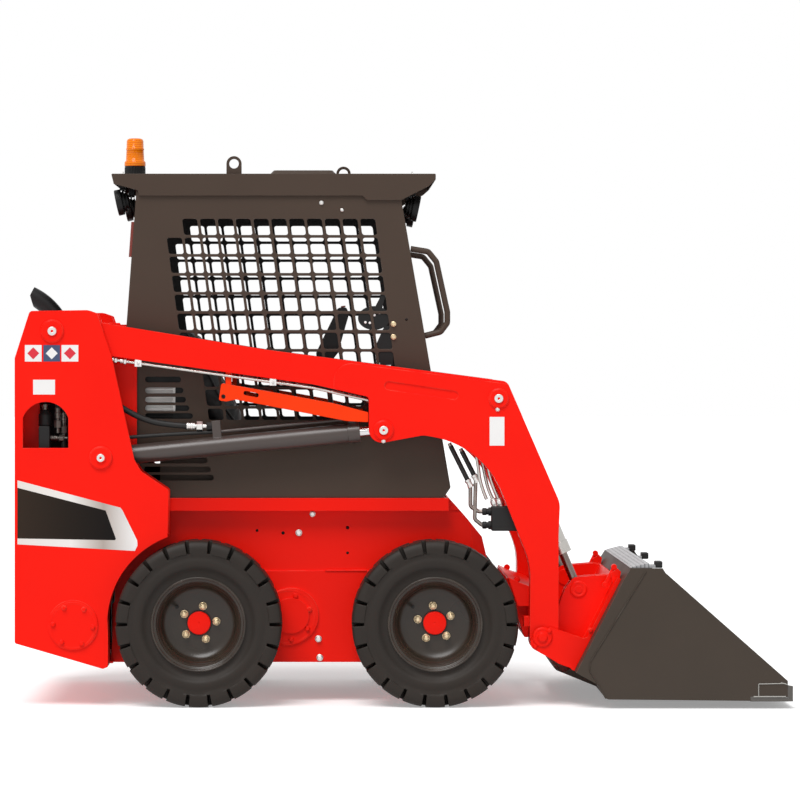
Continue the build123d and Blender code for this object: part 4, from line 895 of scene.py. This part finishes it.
foot = (BEACON_X, 0, ROOF_Z)
bm = lathe(bmesh.new(), ((0, 38), (2, 38.5), (5, 37), (42, 37), (46, 38), (47, 35), (47, 0)),
           foot, UP, 64)
for turn in around(24):
    spin = Matrix.Rotation(turn, 3, "Z")
    for vert in bmesh.ops.create_cube(bm, size=1.0)["verts"]:
        rib = spin @ (vert.co * RIB_SIZE + Vector((RIB_RADIUS, 0, RIB_MIDDLE)))
        vert.co = (Vector(foot) + rib) * MM
foot_piece = piece("beacon_foot", bm, BLACK_PLASTIC, "chassis")
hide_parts("beacon")
spun("beacon_lens", (
    (46, 38.6), (50, 39), (60, 38.6), (64, 36), (66, 33.5), (104, 31.8), (106, 33.2), (109, 33.2),
    (111, 31.4), (138, 30.6), (144, 27.5), (147, 21), (148, 0)), foot, UP, AMBER, "chassis", 64, 50)
print("beacon stands at x", round(BEACON_X))


# %% [markdown]
# ## Work lamps
# Four round work lamps hang under the roof's lips. Each is a ribbed black housing with a bezel, a
# bright bowl and a clear lens, on a bent bracket whose bolt comes through the roof.

# %% Lamps
LENS_GLASS = new_material("lens_glass", {
    "Base Color": (0.9, 0.93, 0.95), "Roughness": 0.04, "Transmission Weight": 0.9,
    "IOR": 1.45})[0]
# word, x of the lamp's middle, z, facing (1 forward, -1 to the rear)
LAMPS = (("front", 40, 1762, 1), ("rear", -994, 1784, -1))
LAMP_Y = 300
LAMP_DIP = math.radians(12)
ROOF_UNDER = ROOF_Z - 8
HOUSING_ROWS = (
    (-24, 0), (-24, 22), (-21, 26), (-19, 26), (-19, 34), (-14, 34), (-14, 30), (-9, 30),
    (-9, 40), (-4, 40), (-4, 36), (0, 36), (2, 46), (22, 46.5), (24, 45), (24, 41), (19, 40))
for end, x, z, facing in LAMPS:
    for word, side in SIDES.items():
        axis = (facing * math.cos(LAMP_DIP), 0, -math.sin(LAMP_DIP))
        y, tag = side * LAMP_Y, f"{end}_{word}"
        centre, top = (x, y, z), (x, y, ROOF_Z)
        spun(f"lamp_{tag}", HOUSING_ROWS, centre, axis, BLACK_PLASTIC, "chassis")
        spun(f"lamp_bowl_{tag}", ((19, 40), (12, 36), (4, 22), (1, 8), (1, 0)), centre, axis,
             CHROME, "chassis", smooth=60)
        spun(f"lamp_lens_{tag}", ((18, 0), (18, 40), (20, 40), (21.5, 30), (23, 0)), centre, axis,
             LENS_GLASS, "chassis", smooth=60)
        bm = block(bmesh.new(), (x - 12, y - 14, z + 40), (x + 12, y + 14, z + 46))
        block(bm, (x - 12, y - 2.5, z + 44), (x + 12, y + 2.5, ROOF_UNDER))
        piece(f"lamp_bracket_{tag}", bm, MACHINE_BLACK, "chassis", bevel=1)
        bm = lathe(bmesh.new(), ((-4, 3), (11, 3), (12, 2)), top, UP, 12)
        hexagon(bm, 10, 0, 5, top, UP)
        piece(f"lamp_stud_{tag}", bm, ZINC_WHITE, "chassis", smooth=30)
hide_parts("work_lamps")


# %% [markdown]
# ## Decals without a name
# The real machine carries lettering and a model badge. Here the badge keeps its shape, a dark
# fading panel in a bright frame with a band of painted shadow, and stays blank. Three square
# stickers get a plain diamond.

# %% Fading finishes
def fading(name, stops, start, length, roughness):
    """A gloss film whose colour fades forward from x = start, over a length in metres."""
    material, tree, shader = new_material(name, {"Roughness": roughness,
                                                 "Specular IOR Level": 0.1})
    forward = add(tree, "SeparateXYZ", {0: place_in(tree)}).outputs["X"]
    share = math_node(tree, "DIVIDE", math_node(tree, "SUBTRACT", forward, start), length,
                      clamp=True)
    ramp = add(tree, "ValToRGB", {"Fac": share})
    elements = ramp.color_ramp.elements
    for element, (position, colour) in zip(elements, (stops[0], stops[-1])):
        element.position, element.color = position, (*colour, 1)
    for position, colour in stops[1:-1]:
        elements.new(position).color = (*colour, 1)
    fill(tree, shader.inputs["Base Color"], ramp.outputs["Color"])
    return material


BADGE_REAR = -1.353
BADGE_DARK = fading("badge_dark", ((0, (0.03, 0.019, 0.013)), (0.5, (0.016, 0.011, 0.008)),
                                   (1, (0.005, 0.004, 0.004))), BADGE_REAR, 0.35, 0.4)
# The dark stop at 0.72 in the silver frame is a painted shadow.
BADGE_SILVER = fading("badge_silver", ((0, (0.75, 0.7, 0.66)), (0.45, (0.8, 0.77, 0.74)),
                                       (0.72, (0.42, 0.36, 0.32)), (1, (0.85, 0.84, 0.83))),
                      BADGE_REAR, 0.42, 0.3)
STICKER_WHITE, STICKER_RED, STICKER_BLUE = (
    finish(f"sticker_{word}", shades, UNSEEN, (0.3, 0.4), drift=15, grain=(600, 0.03), edge=0.0005)
    for word, shades in (("white", ((0.78, 0.77, 0.76), (0.84, 0.83, 0.82))),
                         ("red", ((0.62, 0.012, 0.03), (0.7, 0.018, 0.04))),
                         ("blue", ((0.03, 0.05, 0.12), (0.045, 0.07, 0.15)))))
print("films ready")

# %% Stickers
FILM_STEP = 0.5


def sticker(name, outline, material, face=TOWER_FACE, body="chassis", layer=0):
    """A thin film on both sides of the machine, layers counted outward from the paint."""
    bm = bmesh.new()
    inner = face + layer * FILM_STEP
    for side in SIDES.values():
        slab(bm, outline, side * inner, side * (inner + FILM_STEP))
    return piece(name, bm, material, body, smooth=0)


def square(x0, z0, size_x, size_z):
    """Corners of an upright rectangle."""
    return ((x0, z0), (x0 + size_x, z0), (x0 + size_x, z0 + size_z), (x0, z0 + size_z))


sticker("badge_frame", ((-1353, 795), (-991, 699), (-984, 690), (-932, 584), (-931, 566),
                        (-940, 547), (-1353, 570)), BADGE_SILVER)
sticker("badge_panel", ((-1353, 769), (-1043, 689), (-1007, 590), (-1010, 585), (-1353, 591)),
        BADGE_DARK, layer=1)
for number, (x0, ground, mark) in enumerate((
        (-1327, STICKER_WHITE, STICKER_RED), (-1262, STICKER_BLUE, STICKER_WHITE),
        (-1198, STICKER_WHITE, STICKER_RED))):
    sticker(f"square_{number}", square(x0, 1213, 59, 58), ground)
    x = x0 + 29.5
    sticker(f"diamond_{number}", ((x - 21, 1242), (x, 1221), (x + 21, 1242), (x, 1263)), mark,
            layer=1)
sticker("tower_label", square(-1298, 1097, 77, 52), STICKER_WHITE)
sticker("arm_label", square(308, 917, 52, 101), STICKER_WHITE, ARM_FACE, "arms")
print("stickers laid")


# %% [markdown]
# ## The mesh window's corners
# The side windows are cut out of the panel itself, and a cutter leaves a small round in every
# corner of every cell. The frame has square cells. A thin curved filler in each corner gives
# the grid the soft look of a pressed or cut plate, and all of them are one joined piece a side.

# %% Cell corners
PITCH_X, PITCH_Z, BAR = 63.3, 67.5, 10.0
CELL_LEFT, CELL_TOP = -833.0, 1720.0
# the cells' upright edges lean: x gained per mm up, counted from the height that CELL_LEFT is at
LEAN, LEAN_FROM = -0.134, 1645
COLUMN_COUNT = 12
# first column and height of each row of cells, from the top
CELL_ROWS = ((1, 57.5), *((0, 57.5),) * 7, (1, 57.5), (1, 57.5), (1, 40.0))
CORNER_R = 9.0


def corner_filler(bm, corner, along, up, side):
    """Concave filler between two cell edges that leave a corner as unit vectors (x, z)."""
    centre = corner + (along + up) * CORNER_R
    arc = [centre - (up * math.cos(turn) + along * math.sin(turn)) * CORNER_R
           for turn in (math.pi / 2 * i / 5 for i in range(1, 5))]
    outline = [corner, corner + along * CORNER_R, *arc, corner + up * CORNER_R]
    slab(bm, outline, side * CAB_INSIDE, side * CAB_FACE)


right, down = Vector((1, 0)), Vector((-LEAN, -1)).normalized()
for word, side in SIDES.items():
    bm = bmesh.new()
    for row, (first, height) in enumerate(CELL_ROWS):
        top = CELL_TOP - row * PITCH_Z
        for column in range(first, COLUMN_COUNT):
            left = CELL_LEFT + column * PITCH_X + (top - LEAN_FROM) * LEAN
            for x, way in ((left, right), (left + PITCH_X - BAR, -right)):
                corner_filler(bm, Vector((x, top)), way, down, side)
                corner_filler(bm, Vector((x - height * LEAN, top - height)), way, -down, side)
    piece(f"window_corners_{word}", bm, CAB_BROWN, "chassis", smooth=30)
print("window corners rounded")


# %% [markdown]
# ## Hydraulics
# Oil reaches each lift cylinder through a hose that comes out of the tower and ends in a
# crimped, plated fitting at the bracket on the barrel. A thin hose beside it feeds the other
# end. The barrel swings as the arms rise; both hoses are plain meshes between the tower and the
# barrel, on no body. Inside the tower, seen through the arched window, sit the valve's hoses and
# unions.

# %% Fittings
def crimp(bm, start, end, radius):
    """A crimped hose end: a ridged sleeve, a hexagon union and a neck, from start to end."""
    start, end = Vector(start), Vector(end)
    length = (end - start).length
    facing = (end - start) / length
    sleeve = length * 0.42
    lathe(bm, [(sleeve * share, radius * reach) for share, reach in (
        (0, 1), (0, 1.25), (0.2, 1.3), (0.25, 1.15), (0.45, 1.15), (0.5, 1.3), (0.7, 1.3),
        (0.75, 1.15), (1, 1.15), (1, 0.75))] + [(length, radius * 0.75)], start, facing, 24)
    hexagon(bm, radius * 2.9, 0, length * 0.3, start + facing * length * 0.5, facing, 0.2, 1.0)
    return bm


print("crimped end ready")

# %% Lift cylinder hoses
BARREL_Y = 465
HOSE_R = 10.5


def flexing_hose(name, points, radius):
    """A hose from the tower to the barrel, as a plain mesh on no body."""
    line = pipe(name + "_line", points, radius, HOSE_RUBBER)
    mesh = bpy.data.meshes.new_from_object(
        line.evaluated_get(bpy.context.evaluated_depsgraph_get()))
    bpy.data.objects.remove(line)
    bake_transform(put(name, mesh))


for word, side in SIDES.items():
    y, body = side * BARREL_Y, f"lift_barrel_{word}"
    flexing_hose(f"lift_hose_{word}", (
        (-1120, y, 1100), (-1085, y, 1098), (-1010, y, 1062), (-930, y, 1015), (-850, y, 991),
        (-756, y, 985)), HOSE_R)
    flexing_hose(f"rod_side_hose_{word}", (
        (-1120, y, 925), (-1040, y, 938), (-960, y, 946), (-800, y, 957), (-664, y, 964)), 6.5)
    piece(f"lift_hose_end_{word}", crimp(bmesh.new(), (-760, y, 985), (-690, y, 984), HOSE_R),
          ZINC_WHITE, body, smooth=30)
    piece(f"lift_port_nut_{word}", hexagon(bmesh.new(), 26, 0, 20, (-690, y, 984), (1, 0, 0), 0.3),
          MACHINE_BLACK, body, smooth=30)
print("lift hoses laid")

# %% Hydraulics inside the tower
VALVE_Y = 440
bm_black, bm_steel = bmesh.new(), bmesh.new()
for word, side in SIDES.items():
    y = side * VALVE_Y
    y4, y8, y10, y20 = (y + side * step for step in (4, 8, 10, 20))
    block(bm_black, (-1282, min(y, y + side * 50), 860), (-1243, max(y, y + side * 50), 985))
    lathe(bm_black, ((0, 24), (40, 24), (52, 17), (58, 17), (58, 0)), (-1262, y, 985), UP, 32)
    crimp(bm_steel, (-1216, y20, 1050), (-1216, y20, 960), 8)
    crimp(bm_steel, (-1196, y8, 1032), (-1196, y8, 940), 8)
    crimp(bm_steel, (-1243, y10, 942), (-1182, y10, 942), 8)
    lathe(bm_steel, ((0, 11), (12, 11), (12, 15), (22, 15), (22, 0)), (-1262, y4, 1040), UP, 24)
    for number, points in enumerate((
            ((-1216, y20, 1130), (-1216, y20, 1050)),
            ((-1196, y8, 1130), (-1190, y, 1080), (-1196, y8, 1032)),
            ((-1182, y10, 942), (-1150, y, 945), (-1120, y, 930), (-1100, y, 900)),
            ((-1262, y, 1060), (-1262, y, 1100), (-1240, y, 1140)),
            ((-1196, y8, 942), (-1196, y10, 900), (-1190, y, 860)))):
        pipe(f"tower_hose_{number}_{word}", points, 8, HOSE_RUBBER, "chassis")
piece("valve_blocks", bm_black, MACHINE_BLACK, "chassis", smooth=40, bevel=3)
piece("valve_unions", bm_steel, OILED_STEEL, "chassis", smooth=30)
print("tower hydraulics in place")

# %% Pipe fittings and clamps under the arms
ARM_PIPE_Y = 500
PIPE_LOW = 12                   # how far the pipe's middle lies under the arm's edge


def arm_edge(x):
    """Height of the arm's lower edge behind the knee."""
    return 1270 + (x + 1296) * (1132 - 1270) / (1296 - 312)


bm_end, bm_clamp, bm_tab = bmesh.new(), bmesh.new(), bmesh.new()
for side in SIDES.values():
    y = side * ARM_PIPE_Y
    for x0, x1 in ((-1028, -998), (-994, -966)):
        crimp(bm_end, (x0, y, arm_edge(x0) - PIPE_LOW), (x1, y, arm_edge(x1) - PIPE_LOW), 7)
    for x in (-930, -455):
        z = arm_edge(x)
        block(bm_clamp, (x - 12, y - 11.5, z - 24), (x + 12, y + 11.5, z - 2))
        block(bm_tab, (x - 8, y - 6, z - 4), (x + 8, y + 6, z + 1))
        bolt(bm_end, (x, y + side * 11.5, z - PIPE_LOW), (0, side, 0), 7, seed=x)
piece("pipe_unions", bm_end, ZINC_WHITE, "arms", smooth=30)
piece("pipe_clamps", bm_clamp, LABEL_WHITE, "arms", smooth=30, bevel=1.2)
piece("pipe_clamp_tabs", bm_tab, BODY_RED, "arms", smooth=30)
print("pipes clamped")

# %% Auxiliary couplers at the right arm
AUX_Y = -450
bm = block(bmesh.new(), (316.5, AUX_Y - 31.5, 614.5), (420, AUX_Y + 31.5, 701.5))
piece("aux_block", bm, MACHINE_BLACK, "arms", smooth=30, bevel=4)


def aux_fittings(name, rows, spots, axis, steps, material, smooth):
    """The same lathed fitting at each (x, z), as one piece."""
    bm = bmesh.new()
    for x, z in spots:
        lathe(bm, rows, (x, AUX_Y, z), axis, steps)
    piece(name, bm, material, "arms", smooth=smooth)


aux_fittings("aux_unions", ((0, 15), (10, 15), (10, 11), (16, 11), (18, 13), (30, 13), (32, 10),
                            (32, 0)), ((316.5, 634), (316.5, 682)), (-1, 0, 0), 32,
             MACHINE_BLACK, 35)
# each ring lies at its own spot on the block's top, at a height of 700
aux_fittings("aux_coupler_rings", ((0, 12), (8, 12), (9, 14), (22, 14), (24, 11), (30, 11),
                                   (30, 0)), ((332, 700), (352, 700)), (-0.3, 0, 1), 28,
             ZINC_WHITE, 35)
for number, points in enumerate((
        ((262, -12, 890), (270, -12, 850), (277, -8, 780), (300, 0, 726)),
        ((284, 8, 872), (290, 8, 830), (308, 4, 752), (322, 0, 728)),
        ((302, -4, 860), (308, -4, 820), (328, -2, 760), (342, 0, 730)))):
    pipe(f"aux_pipe_{number}", [(x, AUX_Y + off, z) for x, off, z in points], 6, PIPE_ZINC, "arms")
SLEEVES = (((170, 920), (236, 788)), ((210, 901), (259, 805)))
for number, ends in enumerate(SLEEVES):
    top, low = (Vector(end) for end in ends)
    start = top + (low - top).normalized() * 6
    pipe(f"aux_sleeve_{number}", ((start.x, AUX_Y, start.y), (low.x, AUX_Y, low.y)), 8.6,
         HOSE_RUBBER, "arms", order=2)
aux_fittings("aux_sleeve_ends", ((-8, 9.5), (-8, 11.5), (0, 12), (2, 10), (14, 10), (14, 12),
                                 (22, 12), (22, 7.5)), [low for top, low in SLEEVES],
             (0.45, 0, -0.89), 24, ZINC_WHITE, 30)
print("auxiliary couplers in place")


# %% [markdown]
# ## Coupler
# The quick coupler turns on two stout pins. Each pin has a welded ring, a domed head and a small
# bolt that keeps it from turning. The pin of the tilt rod shows the same way on the inner ear.

# %% Coupler pins
# x, z, face across, ring radius, head radius; the outer pin has a domed head and a lock bolt
COUPLER_RINGS = ((493, 244, FOOT_FACE, 34, 17.5), (628, 404, 407, 29, 13))
for number, (x, z, face, ring_r, head_r) in enumerate(COUPLER_RINGS):
    for word, side in SIDES.items():
        centre, outward = (x, side * face, z), (0, side, 0)
        bm = lathe(bmesh.new(), ((0, ring_r + 1.5), (3, ring_r + 1.2), (6, ring_r - 3),
                                 (6, ring_r - 8), (4.6, ring_r - 10), (4.6, head_r + 2)),
                   centre, outward, 64)
        if face == FOOT_FACE:
            lathe(bm, ((5, head_r + 0.5), (9, head_r + 0.5), (12.5, head_r - 3),
                       (13, head_r - 6), (13, 0)), centre, outward, 40)
            bolt(bm, (x + 24, side * (face + 5), z + 22), outward, 12, seed=4)
        piece(f"coupler_pin_{number}_{word}", bm, BODY_RED, "coupler")
print("coupler pins dressed")

# %% Bolts of the cross member and the foot, and rubber stops of the bucket's step
bolt_pairs("cross_member_bolts", ((412, 438, 412), (440, 395, 440), (422, 368, 422)), 379, 16,
           BODY_RED, "arms")
bolt_pairs("coupler_bolts", ((662, 268, 662), (467, 212, 467)), FOOT_FACE, 13, BODY_RED, "coupler")
bm = bmesh.new()
for y in (-575, 0, 575):
    block(bm, (884, y - 32, 491.5), (909, y + 32, 514))
piece("step_stops", bm, MACHINE_BLACK, "coupler", smooth=30, bevel=3)
print("foot bolts and stops in place")


# %% [markdown]
# ## Welds
# A weld is a line of small overlapping ripples. A thin tube along each seam, its radius rising
# and falling a little, gives that bead, painted with what it joins.

# %% Weld beads
RIPPLE, RIPPLE_PITCH = 0.35, 5.0


def weld(bm, y, places, radius):
    """A rippled bead along straight runs through (x, z), at a distance y across."""
    points = [Vector((x, y, z)) for x, z in places]
    for start, end in zip(points, points[1:]):
        length = (end - start).length
        steps = max(2, round(length / RIPPLE_PITCH) * 2)
        ripples = [(length * i / steps, radius * (1 + RIPPLE * (i % 2 - 0.5)))
                   for i in range(1, steps)]
        lathe(bm, [(0, radius * 0.6), *ripples, (length, radius * 0.6)], start, end - start, 8)


# name, finish, body, then the beads: distance across, radius, places
BEADS = (
    ("chassis_welds", BODY_RED, "chassis", (
        (345, 4, ((-271, 467), (-123, 467))), (345, 4, ((-560, 467), (-500, 467))),
        (532.5, 0.8, ((-1035, 300), (-1035, 160))))),
    ("bucket_welds", BUCKET_BROWN, "coupler", (
        (626, 2.4, ((850, 480), (655, 164), (652, 134), (684, 82), (709, 36))),)),
    ("cutting_edge_welds", WELD_STEEL, "coupler", (
        (626, 1.7, ((1243, 87), (1338, 89))), (626, 1.7, ((1243, 87), (1243, 44))),
        (626, 2.2, ((1225, 43), (1338, 43))), (626, 1.6, ((1320, 92), (1346, 84))))),
)
for name, material, body, beads in BEADS:
    bm = bmesh.new()
    for side in SIDES.values():
        for across, radius, places in beads:
            weld(bm, side * across, places, radius)
    piece(name, bm, material, body, smooth=60)
print("beads laid")


# %% [markdown]
# ## Seat
# The operator sits on two foam pads in a black vinyl cover. Each pad could be a box with
# rounded corners, but a sewn cover pulled over foam bulges between its edges and pulls in at
# its corners. So each pad starts a little smaller than its space, gets an even skin from a
# voxel remesh, and is blown up as cloth. How far a point may move is capped, and nothing goes
# below the plate that the pad lies on. The quilting and the welt come after that, because the
# remesh would wipe them off.

# %% Blowing up a pad
PAD_EDGE, PAD_VOXEL, PAD_CAP = 16, 6, 22
PAD_PRESSURE = 4.0
PAD_FRAMES = 20


def cover_mesh(source):
    """One even skin of small squares over a closed mesh."""
    remesh = source.modifiers.new("even skin", "REMESH")
    remesh.mode = "VOXEL"
    remesh.voxel_size = PAD_VOXEL * MM
    shaped = bpy.data.meshes.new_from_object(
        source.evaluated_get(bpy.context.evaluated_depsgraph_get()))
    source.modifiers.remove(remesh)
    return shaped


def blow_up(source):
    """Runs the cover as cloth with air inside and returns where its points went."""
    cloth = source.modifiers.new("air", "CLOTH")
    cloth.settings.use_pressure = True
    cloth.settings.uniform_pressure_force = PAD_PRESSURE
    cloth.settings.quality = 5
    cloth.settings.effector_weights.gravity = 0
    cloth.point_cache.frame_start = 1
    cloth.point_cache.frame_end = PAD_FRAMES
    for frame in range(1, PAD_FRAMES + 1):
        scene.frame_set(frame)
    swollen = source.evaluated_get(bpy.context.evaluated_depsgraph_get()).data
    places = [vert.co.copy() for vert in swollen.vertices]
    source.modifiers.remove(cloth)
    scene.frame_set(1)
    return places


def pad(name, outline, half_width, keep, node):
    """A pad from its side outline in mm; keep(x, z) pulls a point back onto its support."""
    bm = slab(bmesh.new(), outline, -half_width, half_width)
    bmesh.ops.recalc_face_normals(bm, faces=bm.faces)
    bmesh.ops.bevel(bm, geom=bm.edges, offset=PAD_EDGE * MM, segments=3, profile=0.5,
                    affect="EDGES")
    mesh = bpy.data.meshes.new(name)
    bm.to_mesh(mesh)
    bm.free()
    made = put(name, mesh)
    made.data = cover_mesh(made)
    bpy.data.meshes.remove(mesh)
    made.data.name = name
    for vert, place in zip(made.data.vertices, blow_up(made)):
        move = place - vert.co
        vert.co += move * min(1, PAD_CAP * MM / max(move.length, 1e-9))
    for vert in made.data.vertices:
        x, z = keep(vert.co.x / MM, vert.co.z / MM)
        vert.co.x, vert.co.z = x * MM, z * MM
    made.data.materials.clear()
    made.data.materials.append(SEAT_VINYL)
    made.data.polygons.foreach_set("use_smooth", [True] * len(made.data.polygons))
    rounds = made.modifiers.new("finer skin", "SUBSURF")
    rounds.levels = rounds.render_levels = 1
    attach(made, "chassis")
    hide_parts(node)
    print(f"{name}: {len(made.data.vertices)} points")
    return made


print("pad helpers ready")

# %% Cushion and backrest
CUSHION_HALF, BACKREST_HALF = 216, 214
pad_floor = span("seat_cushion")[0].z
CUSHION_SIDE = ((-585, pad_floor), (-196, pad_floor), (-187, 942), (-551, 934))
BACKREST_SIDE = ((-690, pad_floor), (-622, pad_floor), (-578, 976), (-770, 1333), (-838, 1317))
# Lines that the pads meet each other and the rear wall on: x at the floor, x gained per mm up
CUSHION_REAR = (-599, 0.36)
BACKREST_FRONT = (-611, 0.36)
BACKREST_REAR = (-702, -0.305)
BACKREST_KNEE = 960


def line_x(line, z):
    """Where a line stands at a height."""
    return line[0] + line[1] * (z - pad_floor)


def keep_cushion(x, z):
    """Holds the cushion on its plate and in front of the backrest."""
    z = max(z, pad_floor)
    return max(x, line_x(CUSHION_REAR, z)), z


def keep_backrest(x, z):
    """Holds the backrest on its plate, behind the cushion and off the rear wall."""
    z = max(z, pad_floor)
    if z < BACKREST_KNEE:
        x = min(x, line_x(BACKREST_FRONT, z))
    return max(x, line_x(BACKREST_REAR, z)), z


cushion = pad("seat_cushion_cover", CUSHION_SIDE, CUSHION_HALF, keep_cushion, "seat_cushion")
backrest = pad("seat_back_cover", BACKREST_SIDE, BACKREST_HALF, keep_backrest, "seat_back")

# %% [markdown]
# ## Quilting
# The cover is quilted: a middle panel with pleats across it and a plain bolster each side.
# A sewn line pulls the cover down into the foam, so the skin is pressed in along each line,
# deepest at the stitch. A welt, a thin vinyl tube, runs round each side panel. It is a round
# curve whose points are dropped on the nearest part of the finished skin.

# %% Quilting and welts
BOLSTER_Y = 148
SEAM_DEPTH = SEAM_REACH = 7
WELT_R, WELT_STEP = 4.5, 40


def quilt(made, facing, along, pleats):
    """Presses sewn lines into one face; along gives a point's place on the pleats' scale."""
    facing = Vector(facing).normalized()
    made.data.update()
    presses = []
    for vert in made.data.vertices:
        faced = max(0.0, vert.normal.dot(facing) - 0.5) * 2
        x, y, z = vert.co / MM
        nearest = abs(abs(y) - BOLSTER_Y)
        if abs(y) < BOLSTER_Y:
            nearest = min(nearest, *(abs(along(x, z) - pleat) for pleat in pleats))
        presses.append(faced * math.exp(-(nearest / SEAM_REACH) ** 2))
    for vert, press in zip(made.data.vertices, presses):
        vert.co -= facing * (press * SEAM_DEPTH * MM)


def welt(name, made, outline, y):
    """Lays a thin vinyl tube on the edge of one side panel, a distance y across."""
    tree = BVHTree.FromPolygons([vert.co for vert in made.data.vertices],
                                [list(face.vertices) for face in made.data.polygons])
    points = []
    corners = [mm(x, y, z) for x, z in outline]
    for start, end in zip(corners, corners[1:] + corners[:1]):
        parts = max(2, round((end - start).length / MM / WELT_STEP))
        for i in range(parts):
            place, normal = tree.find_nearest(start.lerp(end, i / parts))[:2]
            points.append((place + normal * MM) / MM)
    pipe(name, [*points, points[0]], WELT_R, SEAT_VINYL, "chassis")


quilt(cushion, (0, 0, 1), lambda x, z: x, (-500, -430, -360, -290))
quilt(backrest, (376, 0, 205), lambda x, z: z, (1050, 1115, 1180, 1245))
for word, side in SIDES.items():
    welt("cushion_welt_" + word, cushion, CUSHION_SIDE, side * CUSHION_HALF)
    welt("backrest_welt_" + word, backrest, BACKREST_SIDE, side * BACKREST_HALF)
print("seat made")

# %% [markdown]
# ## Cab hardware
# The pod by the right pillar carries the lamps and switches, and each drive lever has a rubber
# boot and a thumb button. They are small, but they show through the mesh against the light.

# %% Pod, levers and boots
LEVER_Y, LEVER_FOOT, LEVER_TOP = 285, 868.2, 1407
bm = bmesh.new()
for x, z in ((-128, 1352), (-112, 1350), (-78, 1386), (-96, 1378)):
    lathe(bm, ((0, 4.5), (2, 4.5), (3, 3.5), (3, 0)), (x, -339.5, z), (0, 1, 0), 16)
    lathe(bm, ((0, 4.5), (1.2, 4.5), (1.6, 3.5), (1.6, 0)), (x, -386.4, z), (0, -1, 0), 16)
piece("pod_buttons", bm, LABEL_WHITE, "chassis", smooth=40)
bm = bmesh.new()
bm_button = bmesh.new()
folds = [(0, 44), (4, 46)]
for i in range(5):
    folds += [(10 + i * 14, 42 - i * 6), (17 + i * 14, 36 - i * 6), (20 + i * 14, 38 - i * 6)]
folds += [(92, 11), (100, 11), (100, 0)]
for side in SIDES.values():
    lathe(bm, folds, (-250, side * LEVER_Y, LEVER_FOOT), UP, 40)
    lathe(bm_button, ((0, 9), (3, 9), (5, 7), (5, 0)), (-206, side * LEVER_Y, LEVER_TOP),
          (-0.15, 0, 1), 20)
piece("lever_boots", bm, HOSE_RUBBER, "chassis", smooth=60)
piece("lever_buttons", bm_button, TAIL_RED, "chassis", smooth=40)
print("cab hardware in place")

# %% Rear door hardware
bm = bmesh.new()
block(bm, (-1361.5, -352, 700), (-1354.5, -322, 790))
lathe(bm, ((0, 11), (6, 11), (8, 9), (8, 0)), (-1361, -337, 765), (-1, 0, 0), 24)
piece("door_latch", bm, BLACK_PLASTIC, "rear_door", smooth=35, bevel=2)
bm = bmesh.new()
for z in (420, 460, 1070, 1110):
    bolt(bm, (-1355, 352, z), (-1, 0, 0), 12, seed=z)
piece("door_hinge_bolts", bm, ZINC_WHITE, "rear_door", smooth=30)
print("door hardware in place")


# %% [markdown]
# ## Last update
# The view layer is updated once more at the end.

# %% Update the view layer
bpy.context.view_layer.update()
